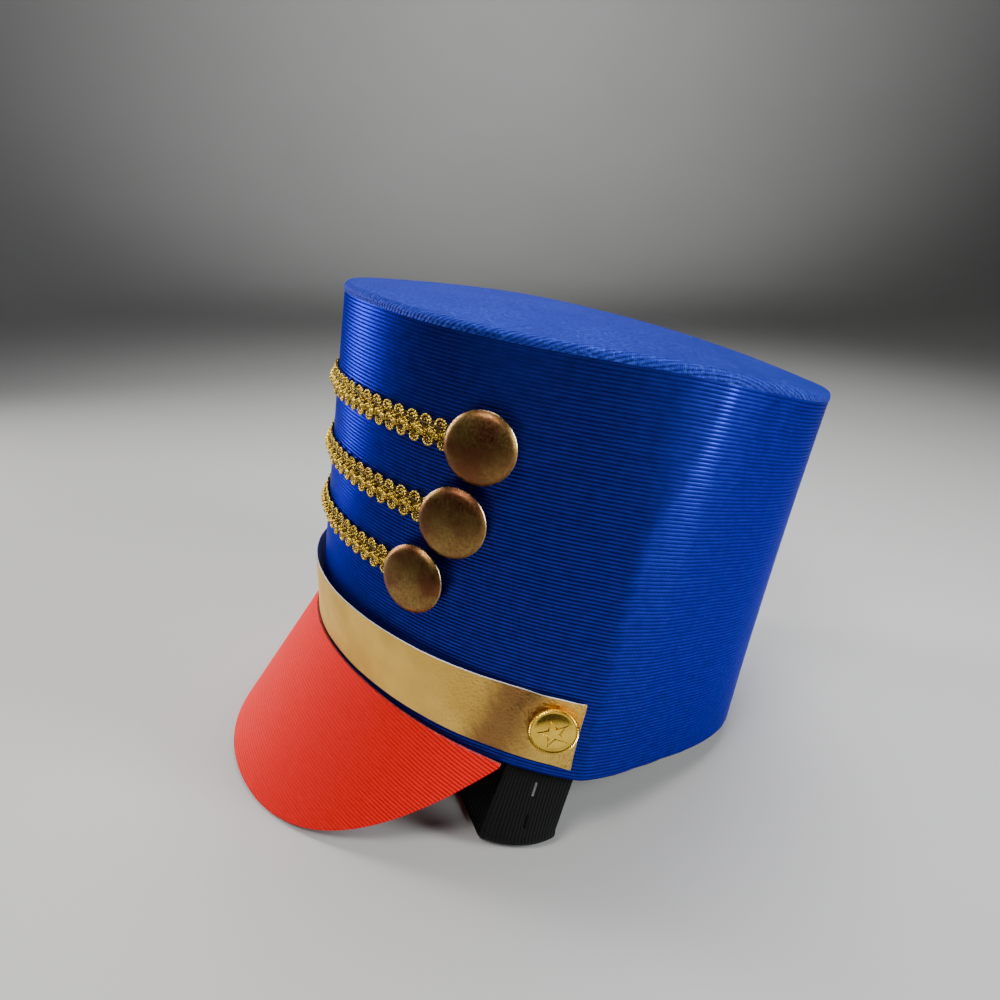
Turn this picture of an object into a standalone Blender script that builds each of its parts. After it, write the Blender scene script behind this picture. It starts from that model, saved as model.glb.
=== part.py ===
"""Drum major hat: ribbed crown, steep visor, foil band, braids, buttons and chin strap.

Metres, Z up. The hat stands on its visor and the back of its rim, front towards -Y.
The shape is worked out in the hat's own frame, with the rim in the plane z = 0,
and leaned back at the end.
"""
import math

import bmesh
import bpy
from mathutils import Matrix, Vector

MM = 0.001

# Crown
RIM_HALF_WIDTH = 96.5 * MM
TOP_HALF_WIDTH = 90.5 * MM
TOP_SHIFT_FORWARD = 6.0 * MM
CROWN_HEIGHT = 144.1 * MM
TOP_SLOPE = 0.0295
WALL_THICKNESS = 2.0 * MM
EDGE_RADIUS = 2.5 * MM
DOME_HEIGHT = 8.4 * MM
BACK_HOLLOW = 1.3 * MM
TOP_RISE = 3.6 * MM
CAP_THICKNESS = 2.0 * MM
CAP_SKIRT = 5.0 * MM

# Radius from the middle, as a share of the half width, every 30 degrees from the front.
RIM_SHARES = (0.935, 0.940, 0.975, 1.000, 1.002, 1.054, 1.085)
TOP_SHARES = (1.100, 1.068, 1.010, 1.000, 1.024, 1.076, 1.094)

# Pressed folds of both sides, as shares of the half width to add: (angle, share)
RIM_FOLD = ((0.0, 0.0), (62.0, 0.0), (82.0, 0.025), (98.0, -0.037), (108.0, -0.047),
            (118.0, -0.033), (135.0, -0.008), (150.0, 0.0), (180.0, 0.0))
TOP_FOLD = ((0.0, 0.0), (78.0, 0.0), (93.0, 0.013), (110.0, -0.015), (135.0, 0.0),
            (180.0, 0.0))
TOP_RISE_ANGLE = 85.0
TOP_RISE_SPREAD = 34.0

# Trim
BAND_LOW = 4.6 * MM
BAND_RISE = 2.0 * MM
BAND_WIDTH = 25.0 * MM
BAND_THICKNESS = 0.6 * MM
BAND_HALF_ANGLE = 79.3
BAND_STAND_OFF = 3.0 * MM

BRAID_WIDTH = 10.8 * MM
BRAID_THICKNESS = 2.2 * MM
# name, height of the centre line as a share of the crown, half angle in degrees
BRAIDS = (
    ("upper", 0.745, 47.5),
    ("middle", 0.560, 45.0),
    ("lower", 0.390, 38.6),
)

BUTTON_DIAMETER = 24.2 * MM
BUTTON_HEIGHT = 4.6 * MM
BUTTON_WALL = 0.8 * MM
STAR_BUTTON_DIAMETER = 17.4 * MM
STAR_BUTTON_HEIGHT = 3.0 * MM
STAR_RADIUS = 5.0 * MM
STAR_RAISE = 0.5 * MM
STAR_TURN = 14.0
STAR_BUTTON_ANGLE = 74.0
STAR_BUTTON_SHARE = 0.128

# Visor
VISOR_HALF_ANGLE = 65.5
VISOR_LENGTH = 61.5 * MM
VISOR_STEEPNESS = 68.0
VISOR_THICKNESS = 1.6 * MM
VISOR_TUCK = 4.6 * MM
VISOR_EDGE_POWER = 3.9
VISOR_END = 1.5 * MM
# The visor's lowest part, out to this angle, lies on the surface that the hat stands on.
VISOR_REST_ANGLE = 24.0

# Chin strap
STRAP_WIDTH = 25.0 * MM
STRAP_THICKNESS = 1.3 * MM
STRAP_ANGLE = 74.0
STRAP_INSIDE = 24.0 * MM
STRAP_BEND_RADIUS = 5.0 * MM
STRAP_BULGE = 2.5 * MM
STRAP_FORWARD = 5.0 * MM
FLOOR_RUN = 175.4 * MM
SLIT_LENGTH = 6.0 * MM
SLIT_WIDTH = 0.9 * MM
SLIT_PITCH = 13.0 * MM
SLITS_ON_FLOOR = 13
SLITS_ON_DROP = (6.0 * MM, 19.0 * MM)

# Fits
GAP = 0.3 * MM
AROUND = 72


def smooth_table(shares, angle):
    """Value at an angle in degrees from a table with an entry every 30 degrees."""
    ring = list(shares) + list(shares[-2:0:-1])
    place = (angle % 360.0) / 30.0
    index = int(place)
    t = place - index
    a, b, c, d = (ring[(index + k) % 12] for k in (-1, 0, 1, 2))
    return 0.5 * (2 * b + (c - a) * t + (2 * a - 5 * b + 4 * c - d) * t ** 2
                  + (3 * b - a - 3 * c + d) * t ** 3)


def fold(table, angle):
    """Value between the listed angles, the same on both sides."""
    side = abs((angle + 180.0) % 360.0 - 180.0)
    for (a, low), (b, high) in zip(table, table[1:]):
        if side <= b:
            return low + (high - low) * (side - a) / (b - a)
    return table[-1][1]


def side_rise(angle):
    """Height that the sides of the top stand over its front and back."""
    side = abs((angle + 180.0) % 360.0 - 180.0)
    return TOP_RISE * math.exp(-((side - TOP_RISE_ANGLE) / TOP_RISE_SPREAD) ** 2)


def outward(angle):
    a = math.radians(angle)
    return Vector((math.sin(a), -math.cos(a), 0.0))


def rim_point(angle):
    share = smooth_table(RIM_SHARES, angle) + fold(RIM_FOLD, angle)
    return outward(angle) * RIM_HALF_WIDTH * share


def top_point(angle):
    share = smooth_table(TOP_SHARES, angle) + fold(TOP_FOLD, angle)
    point = outward(angle) * TOP_HALF_WIDTH * share
    point.y -= TOP_SHIFT_FORWARD
    point.z = CROWN_HEIGHT + TOP_SLOPE * point.y + side_rise(angle)
    return point


def wall_point(angle, share):
    """Point of the wall, a little hollow at half height behind."""
    hollow = max(0.0, -math.cos(math.radians(angle))) * 4.0 * share * (1.0 - share)
    point = rim_point(angle).lerp(top_point(angle), share)
    return point - outward(angle) * BACK_HOLLOW * hollow


def wall_normal(angle, share):
    """Outward normal of the crown wall."""
    along = wall_point(angle + 1.0, share) - wall_point(angle - 1.0, share)
    up = top_point(angle) - rim_point(angle)
    return along.cross(up).normalized()


def wall_up(angle):
    return (top_point(angle) - rim_point(angle)).normalized()


def visor_line(angle, depth):
    """Start, direction and full length of one line down the visor."""
    steep = math.radians(VISOR_STEEPNESS)
    along = Vector((0.0, -math.cos(steep), -math.sin(steep)))
    share = abs(angle) / VISOR_HALF_ANGLE
    tuck = VISOR_TUCK * max(0.0, 1.0 - share ** 2.2)
    level = tuck / CROWN_HEIGHT
    side = wall_point(angle + 1.0, 0.0) - wall_point(angle - 1.0, 0.0)
    face = side.cross(-along).normalized()
    start = wall_point(angle, level) + wall_normal(angle, level) * GAP + face * depth
    reach = VISOR_LENGTH * (1.0 - share ** VISOR_EDGE_POWER) + tuck + VISOR_END
    return start, along, reach


def stand_matrix():
    """Lean that rests the hat on the visor's edge and on the back of the rim."""
    start, along, reach = visor_line(VISOR_REST_ANGLE, 0.0)
    rise = rim_point(180.0) - (start + along * reach)
    return Matrix.Rotation(-math.atan2(rise.z, rise.y), 4, "X")


# Mesh helpers
def material(name, colour, roughness, metallic):
    made = bpy.data.materials.new(name)
    made.use_nodes = True
    shader = made.node_tree.nodes["Principled BSDF"]
    shader.inputs["Base Color"].default_value = (*colour, 1.0)
    shader.inputs["Roughness"].default_value = roughness
    shader.inputs["Metallic"].default_value = metallic
    made.diffuse_color = (*colour, 1.0)
    return made


def add_object(name, points, faces, shader, leaned=True, smooth=True):
    mesh = bpy.data.meshes.new(name)
    mesh.from_pydata([tuple(p) for p in points], [], faces)
    mesh.materials.append(shader)
    shell = bmesh.new()
    shell.from_mesh(mesh)
    bmesh.ops.recalc_face_normals(shell, faces=shell.faces)
    shell.to_mesh(mesh)
    shell.free()
    for face in mesh.polygons:
        face.use_smooth = smooth
    if leaned:
        mesh.transform(stand_matrix())
    made = bpy.data.objects.new(name, mesh)
    bpy.context.scene.collection.objects.link(made)
    return made


def closed_rings(rings):
    """Faces of a shell whose sections are closed rings, joined last to first."""
    count = len(rings[0])
    faces = []
    for k in range(len(rings)):
        n = (k + 1) % len(rings)
        for i in range(count):
            j = (i + 1) % count
            faces.append((k * count + i, k * count + j, n * count + j, n * count + i))
    return [p for ring in rings for p in ring], faces


def sheet_solid(outer, inner):
    """Closed solid between two equal grids of points, rows along the sheet."""
    rows = len(outer)
    columns = len(outer[0])
    points = [p for row in outer for p in row] + [p for row in inner for p in row]
    half = rows * columns
    faces = []
    for r in range(rows - 1):
        for c in range(columns - 1):
            a = r * columns + c
            faces.append((a, a + 1, a + 1 + columns, a + columns))
            faces.append((a + half, a + columns + half, a + 1 + columns + half, a + 1 + half))
    border = [c for c in range(columns)]
    border += [r * columns + columns - 1 for r in range(1, rows)]
    border += [(rows - 1) * columns + c for c in range(columns - 2, -1, -1)]
    border += [r * columns for r in range(rows - 2, 0, -1)]
    for k, a in enumerate(border):
        b = border[(k + 1) % len(border)]
        faces.append((b, a, a + half, b + half))
    return points, faces


def revolved(profile, steps, centre, normal, tangent):
    """Closed turned solid: profile of (radius, height), from axis to axis."""
    side = normal.cross(tangent).normalized()
    points = []
    faces = []
    rings = []
    for radius, height in profile:
        if radius < 1e-9:
            rings.append([len(points)])
            points.append(centre + normal * height)
            continue
        ring = []
        for i in range(steps):
            a = 2 * math.pi * i / steps
            ring.append(len(points))
            arm = tangent * math.cos(a) + side * math.sin(a)
            points.append(centre + arm * radius + normal * height)
        rings.append(ring)
    for low, high in zip(rings, rings[1:]):
        for i in range(steps):
            j = (i + 1) % steps
            if len(low) == 1:
                faces.append((low[0], high[i], high[j]))
            elif len(high) == 1:
                faces.append((low[i], high[0], low[j]))
            else:
                faces.append((low[i], high[i], high[j], low[j]))
    return points, faces


# Pieces
def build_crown_wall(shader):
    top_share = 1.0 - (CAP_SKIRT + GAP) / CROWN_HEIGHT
    outer_shares = [top_share * k / 6 for k in range(7)]
    angles = [360.0 * i / AROUND for i in range(AROUND)]
    rings = [[wall_point(a, s) for a in angles] for s in outer_shares]
    for s in reversed(outer_shares):
        rings.append([wall_point(a, s) - wall_normal(a, s) * WALL_THICKNESS for a in angles])
    return add_object("crown_wall", *closed_rings(rings), shader)


def cap_ring(angles, share, inset, lift):
    """Ring at a share of the top's outline, moved in and up."""
    middle = Vector((0.0, -TOP_SHIFT_FORWARD, 0.0))
    ring = []
    for a in angles:
        edge = top_point(a)
        flat = Vector((edge.x, edge.y, 0.0)) - middle
        flat = (flat - flat.normalized() * inset) * share + middle
        height = CROWN_HEIGHT + TOP_SLOPE * flat.y + lift + side_rise(a) * share ** 2
        ring.append(Vector((flat.x, flat.y, height)))
    return ring


def build_crown_top(shader):
    angles = [360.0 * i / AROUND for i in range(AROUND)]
    skirt = 1.0 - CAP_SKIRT / CROWN_HEIGHT
    outer = [[wall_point(a, skirt) for a in angles]]
    for step in range(0, 5):
        turn = math.radians(22.5 * step)
        inset = EDGE_RADIUS * (1.0 - math.cos(turn))
        lift = EDGE_RADIUS * (math.sin(turn) - 1.0)
        outer.append(cap_ring(angles, 1.0, inset, lift))
    domes = (0.88, 0.72, 0.54, 0.36, 0.18)
    for share in domes:
        outer.append(cap_ring(angles, share, EDGE_RADIUS, DOME_HEIGHT * (1 - share ** 2)))
    inner = []
    for share in reversed((0.90, 0.60, 0.30)):
        lift = DOME_HEIGHT * (1 - share ** 2) - CAP_THICKNESS
        inner.append(cap_ring(angles, share, EDGE_RADIUS, lift))
    inner.append(cap_ring(angles, 1.0, CAP_THICKNESS + 0.6 * MM, -CAP_THICKNESS - 0.8 * MM))
    inner.append([wall_point(a, skirt) - wall_normal(a, skirt) * CAP_THICKNESS for a in angles])
    count = len(angles)
    points = [p for ring in outer for p in ring]
    top = len(points)
    points.append(sum(outer[-1], Vector()) / count + Vector((0, 0, DOME_HEIGHT * 0.03)))
    start = len(points)
    points += [p for ring in inner for p in ring]
    under = len(points)
    points.append(sum(inner[0], Vector()) / count + Vector((0, 0, DOME_HEIGHT * 0.09)))
    faces = []
    for i in range(count):
        j = (i + 1) % count
        for k in range(len(outer) - 1):
            a = k * count
            faces.append((a + i, a + j, a + count + j, a + count + i))
        last = (len(outer) - 1) * count
        faces.append((last + i, last + j, top))
        faces.append((start + j, start + i, under))
        for k in range(len(inner) - 1):
            a = start + k * count
            faces.append((a + i, a + j, a + count + j, a + count + i))
        end = start + (len(inner) - 1) * count
        faces.append((end + i, end + j, j, i))
    return add_object("crown_top", points, faces, shader)


def visor_rows(depth):
    """Rows of the visor's surface, depth from its under face outwards."""
    floor_normal = stand_matrix().inverted().to_3x3() @ Vector((0, 0, 1))
    floor_level = rim_point(180.0).dot(floor_normal)
    columns = 41
    rows = 8
    grid = [[] for _ in range(rows)]
    for c in range(columns):
        angle = VISOR_HALF_ANGLE * (-1.0 + 2.0 * c / (columns - 1))
        start, along, reach = visor_line(angle, depth)
        to_floor = (floor_level - start.dot(floor_normal)) / along.dot(floor_normal)
        reach = min(reach, to_floor)
        for r in range(rows):
            grid[r].append(start + along * reach * r / (rows - 1))
    return grid


def build_visor(shader):
    return add_object("visor", *sheet_solid(visor_rows(VISOR_THICKNESS), visor_rows(0.0)), shader)


def wrap_strip(low, rise, width, half_angle, stand_off, lean_off, thickness, columns):
    """Strip that follows the wall and rises to the front; lean_off moves its upper edge out."""
    grids = []
    for depth in (thickness, 0.0):
        rows = []
        for r in range(3):
            row = []
            for c in range(columns):
                angle = half_angle * (-1.0 + 2.0 * c / (columns - 1))
                height = low + rise * math.cos(math.radians(angle)) + width * r / 2
                share = height / CROWN_HEIGHT
                fade = max(0.0, math.cos(math.radians(angle * 1.25)))
                off = stand_off + depth + lean_off * fade * r / 2
                row.append(wall_point(angle, share) + wall_normal(angle, share) * off)
            rows.append(row)
        grids.append(rows)
    return sheet_solid(grids[0], grids[1])


def build_band(shader):
    strip = wrap_strip(BAND_LOW, BAND_RISE, BAND_WIDTH, BAND_HALF_ANGLE, GAP,
                       BAND_STAND_OFF, BAND_THICKNESS, 41)
    return add_object("front_band", *strip, shader)


def build_braid(name, share, half_angle, shader):
    low = share * CROWN_HEIGHT - BRAID_WIDTH / 2
    strip = wrap_strip(low, 0.0, BRAID_WIDTH, half_angle, GAP, 0.0, BRAID_THICKNESS, 29)
    return add_object("braid_" + name, *strip, shader)


def button_frame(angle, share, off):
    normal = wall_normal(angle, share)
    centre = wall_point(angle, share) + normal * off
    up = wall_up(angle)
    tangent = up.cross(normal).normalized()
    return centre, normal, tangent


def build_button(name, angle, share, shader):
    off = GAP + BRAID_THICKNESS + GAP + bow_clearance(BUTTON_DIAMETER, angle, share)
    centre, normal, tangent = button_frame(angle, share, off)
    radius = BUTTON_DIAMETER / 2
    crown = BUTTON_HEIGHT
    profile = [
        (0.0, crown - BUTTON_WALL - 0.9 * MM),
        (radius * 0.62, 0.9 * MM + BUTTON_WALL),
        (radius * 0.88, 0.0),
        (radius * 0.97, 0.0),
        (radius, 0.6 * MM),
        (radius * 0.97, 1.2 * MM),
        (radius * 0.80, crown * 0.58),
        (radius * 0.50, crown * 0.86),
        (0.0, crown),
    ]
    return add_object(name, *revolved(profile, 24, centre, normal, tangent), shader)


def bow_clearance(diameter, angle, share):
    """Sagitta of the wall across a flat button: none is needed on an outward bow."""
    middle = wall_point(angle, share)
    spread = math.degrees(diameter / 2 / middle.length)
    normal = wall_normal(angle, share)
    worst = 0.0
    for side in (-spread, spread):
        reach = (wall_point(angle + side, share) - middle).dot(normal)
        worst = max(worst, reach)
    return worst


def build_star_button(name, angle, shader):
    share = STAR_BUTTON_SHARE
    fade = max(0.0, math.cos(math.radians(angle * 1.25)))
    off = GAP + BAND_THICKNESS + GAP + BAND_STAND_OFF * fade
    off += bow_clearance(STAR_BUTTON_DIAMETER, angle, share)
    centre, normal, tangent = button_frame(angle, share, off)
    radius = STAR_BUTTON_DIAMETER / 2
    height = STAR_BUTTON_HEIGHT
    steps = 20
    tip = STAR_RADIUS
    notch = STAR_RADIUS * 0.45
    side = normal.cross(tangent).normalized()
    profile = [
        (0.0, 0.0),
        (radius * 0.94, 0.0),
        (radius, 0.5 * MM),
        (radius, 1.2 * MM),
        (radius * 0.93, 1.7 * MM),
        (radius * 0.84, 1.3 * MM),
        (radius * 0.74, 1.9 * MM),
    ]
    points, faces = revolved(profile, steps, centre, normal, tangent)
    first = 90.0 + math.copysign(STAR_TURN, angle)
    shift = round(first * steps / 360.0)
    rim = [len(points) - steps + (i + shift) % steps for i in range(steps)]
    arms = ((tip, 1.0), (tip * 0.62, 0.5), (notch, 0.0), (tip * 0.62, 0.5))
    low = []
    high = []
    for i in range(steps):
        reach, _ = arms[i % 4]
        a = 2 * math.pi * i / steps + math.radians(first)
        arm = tangent * math.cos(a) + side * math.sin(a)
        base = height - 0.9 * MM * (reach / tip) - STAR_RAISE
        low.append(len(points))
        points.append(centre + arm * (reach + 0.35 * MM) + normal * base)
        high.append(len(points))
        points.append(centre + arm * reach + normal * (base + STAR_RAISE))
    middle = len(points)
    points.append(centre + normal * (height + 0.1 * MM))
    for i in range(steps):
        j = (i + 1) % steps
        faces.append((rim[i], low[i], low[j], rim[j]))
        faces.append((low[i], high[i], high[j], low[j]))
        faces.append((high[i], middle, high[j]))
    return add_object(name, points, faces, shader)


def strap_half(offset):
    """Middle line of one row of the strap, from inside the crown down to the floor."""
    matrix = stand_matrix()
    level = (matrix @ rim_point(180.0)).z + STRAP_THICKNESS / 2
    inner = WALL_THICKNESS + GAP + STRAP_THICKNESS * 0.65
    angle = STRAP_ANGLE + math.degrees(offset / RIM_HALF_WIDTH)
    line = []
    for height in (STRAP_INSIDE, STRAP_INSIDE / 2, 0.0):
        share = height / CROWN_HEIGHT
        point = wall_point(angle, share) - wall_normal(angle, share) * inner
        line.append(matrix @ point)
    rim = line[-1].copy()
    floor_y = (matrix @ wall_point(STRAP_ANGLE, 0.0)).y + offset - STRAP_FORWARD
    radius = STRAP_BEND_RADIUS
    drop = rim.z - level - radius
    downs = []
    for start in SLITS_ON_DROP:
        downs += [start, start + SLIT_LENGTH]
    for down in downs:
        part = down / drop
        across = rim.y + (floor_y - rim.y) * part
        line.append(Vector((rim.x + STRAP_BULGE * part ** 2, across, rim.z - down)))
    centre = Vector((rim.x + STRAP_BULGE - radius, floor_y, level + radius))
    for step in range(0, 7):
        turn = math.radians(15.0 * step)
        line.append(centre + Vector((radius * math.cos(turn), 0.0, -radius * math.sin(turn))))
    return line


def strap_line(offset):
    """One row of the strap from side to side, and its path intervals that hold a slit."""
    half = strap_half(offset)
    slits = []
    for k in range(len(SLITS_ON_DROP)):
        slits.append(3 + 2 * k)
    end = half[-1]
    pattern = [0.0]
    lead = (FLOOR_RUN - SLITS_ON_FLOOR * SLIT_PITCH + SLIT_PITCH - SLIT_LENGTH) / 2
    for k in range(SLITS_ON_FLOOR):
        pattern.append(lead + k * SLIT_PITCH)
        pattern.append(lead + k * SLIT_PITCH + SLIT_LENGTH)
    pattern.append(FLOOR_RUN)
    line = list(half)
    for k, place in enumerate(pattern[1:-1]):
        across = 1.0 - 2.0 * place / FLOOR_RUN
        line.append(Vector((end.x * across, end.y, end.z)))
        if k % 2 == 0:
            slits.append(len(line) - 1)
    slits += [len(half) * 2 + len(pattern) - 2 - 2 - k for k in slits[:len(SLITS_ON_DROP)]]
    line += [Vector((-p.x, p.y, p.z)) for p in reversed(half)]
    return line, set(slits)


def build_strap(shader):
    offsets = (-STRAP_WIDTH / 2, -SLIT_WIDTH / 2, SLIT_WIDTH / 2, STRAP_WIDTH / 2)
    rows = [strap_line(offset) for offset in offsets]
    slits = rows[0][1]
    lines = [row[0] for row in rows]
    count = len(lines[0])
    points = []
    for side in (0.5, -0.5):
        for line in lines:
            for k, point in enumerate(line):
                before = line[max(k - 1, 0)]
                after = line[min(k + 1, count - 1)]
                run = after - before
                normal = Vector((-run.z, 0.0, run.x)).normalized()
                points.append(point + normal * STRAP_THICKNESS * side)
    half = len(points) // 2

    def filled(row, column):
        if not (0 <= row < 3 and 0 <= column < count - 1):
            return False
        return not (row == 1 and column in slits)

    faces = []
    for row in range(3):
        for column in range(count - 1):
            if not filled(row, column):
                continue
            a = row * count + column
            b = a + 1
            c = b + count
            d = a + count
            faces.append((a, b, c, d))
            faces.append((a + half, d + half, c + half, b + half))
            walls = (((row - 1, column), a, b), ((row, column + 1), b, c),
                     ((row + 1, column), c, d), ((row, column - 1), d, a))
            for place, low, high in walls:
                if not filled(*place):
                    faces.append((high, low, low + half, high + half))
    return add_object("chin_strap", points, faces, shader, leaned=False)


def set_on_origin():
    """Moves every piece so the box's bottom centre is at the origin."""
    pieces = [o for o in bpy.context.scene.objects if o.type == "MESH"]
    corners = [v.co for o in pieces for v in o.data.vertices]
    low = Vector([min(c[k] for c in corners) for k in range(3)])
    high = Vector([max(c[k] for c in corners) for k in range(3)])
    shift = Vector((-(low.x + high.x) / 2, -(low.y + high.y) / 2, -low.z))
    for piece in pieces:
        piece.data.transform(Matrix.Translation(shift))


def main():
    for old in list(bpy.data.objects):
        bpy.data.objects.remove(old, do_unlink=True)
    blue = material("blue_satin", (0.012, 0.075, 0.45), 0.42, 0.0)
    blue_top = material("blue_satin_top", (0.015, 0.085, 0.50), 0.50, 0.0)
    red = material("red_satin", (0.72, 0.025, 0.02), 0.45, 0.0)
    foil = material("gold_foil", (0.75, 0.52, 0.22), 0.28, 1.0)
    braid = material("gold_braid", (0.62, 0.42, 0.11), 0.40, 1.0)
    aged = material("aged_brass", (0.32, 0.21, 0.10), 0.38, 1.0)
    bright = material("bright_brass", (0.85, 0.56, 0.15), 0.25, 1.0)
    black = material("black_elastic", (0.012, 0.012, 0.014), 0.80, 0.0)
    build_crown_wall(blue)
    build_crown_top(blue_top)
    build_visor(red)
    build_band(foil)
    for name, share, angle in BRAIDS:
        build_braid(name, share, angle, braid)
        build_button("button_%s_left" % name, angle, share, aged)
        build_button("button_%s_right" % name, -angle, share, aged)
    build_star_button("star_button_left", STAR_BUTTON_ANGLE, bright)
    build_star_button("star_button_right", -STAR_BUTTON_ANGLE, bright)
    build_strap(black)
    set_on_origin()


main()
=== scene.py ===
"""Drum major hat: satin crown and visor, foil band, gimp braids, buttons and chin strap.

Laid out as an add-on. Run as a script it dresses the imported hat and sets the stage.
Shapes are worked out in the hat's own frame, rim in the plane z = 0, and then leaned back.
Angles round the hat are in degrees from the front towards the wearer's left.
"""
import math

import bmesh
import bpy
import numpy as np
from bpy.props import FloatProperty, FloatVectorProperty, IntProperty, PointerProperty
from mathutils import Matrix, Vector


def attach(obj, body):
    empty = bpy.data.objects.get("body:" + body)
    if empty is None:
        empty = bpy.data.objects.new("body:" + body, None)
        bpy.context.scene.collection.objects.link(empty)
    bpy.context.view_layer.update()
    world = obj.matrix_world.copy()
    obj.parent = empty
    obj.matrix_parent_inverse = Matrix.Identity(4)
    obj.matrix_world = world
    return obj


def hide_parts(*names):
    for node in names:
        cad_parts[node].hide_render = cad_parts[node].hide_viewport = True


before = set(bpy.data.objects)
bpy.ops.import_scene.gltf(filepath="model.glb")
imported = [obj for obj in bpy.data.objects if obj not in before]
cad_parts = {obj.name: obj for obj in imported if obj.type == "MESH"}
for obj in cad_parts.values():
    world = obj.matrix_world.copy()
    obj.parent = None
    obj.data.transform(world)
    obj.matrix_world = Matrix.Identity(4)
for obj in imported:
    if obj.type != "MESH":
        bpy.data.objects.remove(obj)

bl_info = {
    "name": "Drum Major Hat",
    "version": (1, 0, 0),
    "blender": (4, 5, 0),
    "location": "View3D > Sidebar > Hat",
    "description": "Builds the dressed pieces of a drum major hat",
    "category": "Add Mesh",
}

MM = 0.001

# Crown, as in the part's source
RIM_HALF_WIDTH = 96.5 * MM
TOP_HALF_WIDTH = 90.5 * MM
TOP_SHIFT_FORWARD = 6.0 * MM
CROWN_HEIGHT = 144.1 * MM
TOP_SLOPE = 0.0295
WALL_THICKNESS = 2.0 * MM
EDGE_RADIUS = 2.5 * MM
DOME_HEIGHT = 8.4 * MM
BACK_HOLLOW = 1.3 * MM
TOP_RISE = 3.6 * MM
CAP_SKIRT = 3.6 * MM
RIM_SHARES = (0.935, 0.940, 0.975, 1.000, 1.002, 1.054, 1.085)
TOP_SHARES = (1.100, 1.068, 1.010, 1.000, 1.024, 1.076, 1.094)
RIM_FOLD = ((0.0, 0.0), (62.0, 0.0), (82.0, 0.025), (98.0, -0.037), (108.0, -0.047),
            (118.0, -0.033), (135.0, -0.008), (150.0, 0.0), (180.0, 0.0))
TOP_FOLD = ((0.0, 0.0), (78.0, 0.0), (93.0, 0.013), (110.0, -0.015), (135.0, 0.0),
            (180.0, 0.0))
TOP_RISE_ANGLE = 85.0
TOP_RISE_SPREAD = 34.0

# Trim
BRAID_THICKNESS = 2.2 * MM
BAND_THICKNESS = 0.6 * MM
BAND_LOW = 4.6 * MM
BAND_RISE = 2.0 * MM
BAND_WIDTH = 25.0 * MM
BAND_HALF_ANGLE = 79.3
BAND_STAND_OFF = 3.0 * MM
FOIL_THICKNESS = 0.55 * MM
PUFF_HEIGHT = 0.9 * MM
PUFF_RADIUS = 12.5 * MM
PUFF_SPREAD = 2.6 * MM
CORNER_CURL = 1.6 * MM
RIPPLE = 0.07 * MM
BRAIDS = (("upper", 0.745, 47.5), ("middle", 0.560, 45.0), ("lower", 0.390, 38.6))
BUTTON_DIAMETER = 24.2 * MM
STAR_BUTTON_DIAMETER = 17.4 * MM
STAR_TURN = 26.0
STAR_BUTTON_ANGLE = 74.0
STAR_BUTTON_SHARE = 0.128

# Visor
VISOR_HALF_ANGLE = 65.5
VISOR_LENGTH = 61.5 * MM
VISOR_STEEPNESS = 68.0
VISOR_THICKNESS = 1.6 * MM
VISOR_TUCK = 4.6 * MM
VISOR_EDGE_POWER = 3.9
VISOR_END = 1.5 * MM

# Chin strap
STRAP_WIDTH = 25.0 * MM
STRAP_THICKNESS = 1.3 * MM
STRAP_ANGLE = 74.0
STRAP_INSIDE = 24.0 * MM
STRAP_BEND_RADIUS = 5.0 * MM
STRAP_BULGE = 2.0 * MM
STRAP_EDGE_ROUND = 2.5 * MM
STRAP_FORWARD = 7.0 * MM
FLOOR_RUN = 175.4 * MM
SLIT_LENGTH = 6.0 * MM
SLIT_WIDTH = 0.9 * MM
SLIT_PITCH = 13.0 * MM
SLITS_ON_FLOOR = 13
SLITS_ON_DROP = (6.0 * MM, 19.0 * MM)
ELASTIC_RIB = 1.15 * MM
ELASTIC_THREAD = 0.8 * MM

# Cloth over board
UNDER_SKIRT = 0.6 * MM
HEM_HEIGHT = 1.1 * MM
HEM_TURN = 0.8 * MM
WALL_CLOTH = 1.9 * MM
CAP_CLOTH = 1.6 * MM
CAP_PROUD = 0.15 * MM
VISOR_CLOTH = 1.5 * MM
THREAD_PITCH = 0.60 * MM
RIB_WANDER = 0.5 * MM
NAP_COLOUR = (0.075, 0.20, 0.86, 1.0)

GAP = 0.3 * MM
LEAN = 15.02852
STAND_SHIFT = Vector((0.0, 0.7064, 27.1493)) * MM

# Stage
FLOOR_RADIUS = 1.4
FLOOR_CURVE = 0.9
BACKDROP_RISE = 0.8
BACKDROP_STEPS = 8
SKY_COLOUR = (0.95, 0.97, 1.0, 1.0)
SKY_STRENGTH = 0.06
LAMP_SPREAD = 100.0
LAMP_AIM = Vector((0.0, 0.0, 0.09))
WARM = (1.0, 0.98, 0.95)
COOL = (0.97, 0.99, 1.0)
WHITE = (1.0, 1.0, 1.0)

# Lamps: name, angle, elevation, distance, width and height, power, colour
LAMPS = (
    ("key_light", -45.0, 18.0, 0.9, (0.17, 0.60), 2.6, WARM),
    ("high_light", 45.0, 58.0, 0.9, (0.3, 0.3), 1.6, WARM),
    ("back_light", 138.0, 18.0, 1.0, (0.24, 0.62), 4.8, COOL),
    ("top_light", 225.0, 70.0, 1.0, (0.5, 0.5), 3.6, WHITE),
)
BACKDROP_LAMP = ("backdrop_light", 250.0, 60.0, 1.1, (0.6, 0.6), 7.0, WHITE)
BACKDROP_DOWN = -0.15

# Camera, in the standing frame
CAMERA_PLACE = Vector((0.27978, -0.10701, 0.22267))
CAMERA_FORWARD = Vector((-0.86843915, 0.31059645, -0.38644959))
CAMERA_ROLL = -0.0201
CAMERA_LENS = 27.02
CAMERA_SENSOR = 36.0


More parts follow.
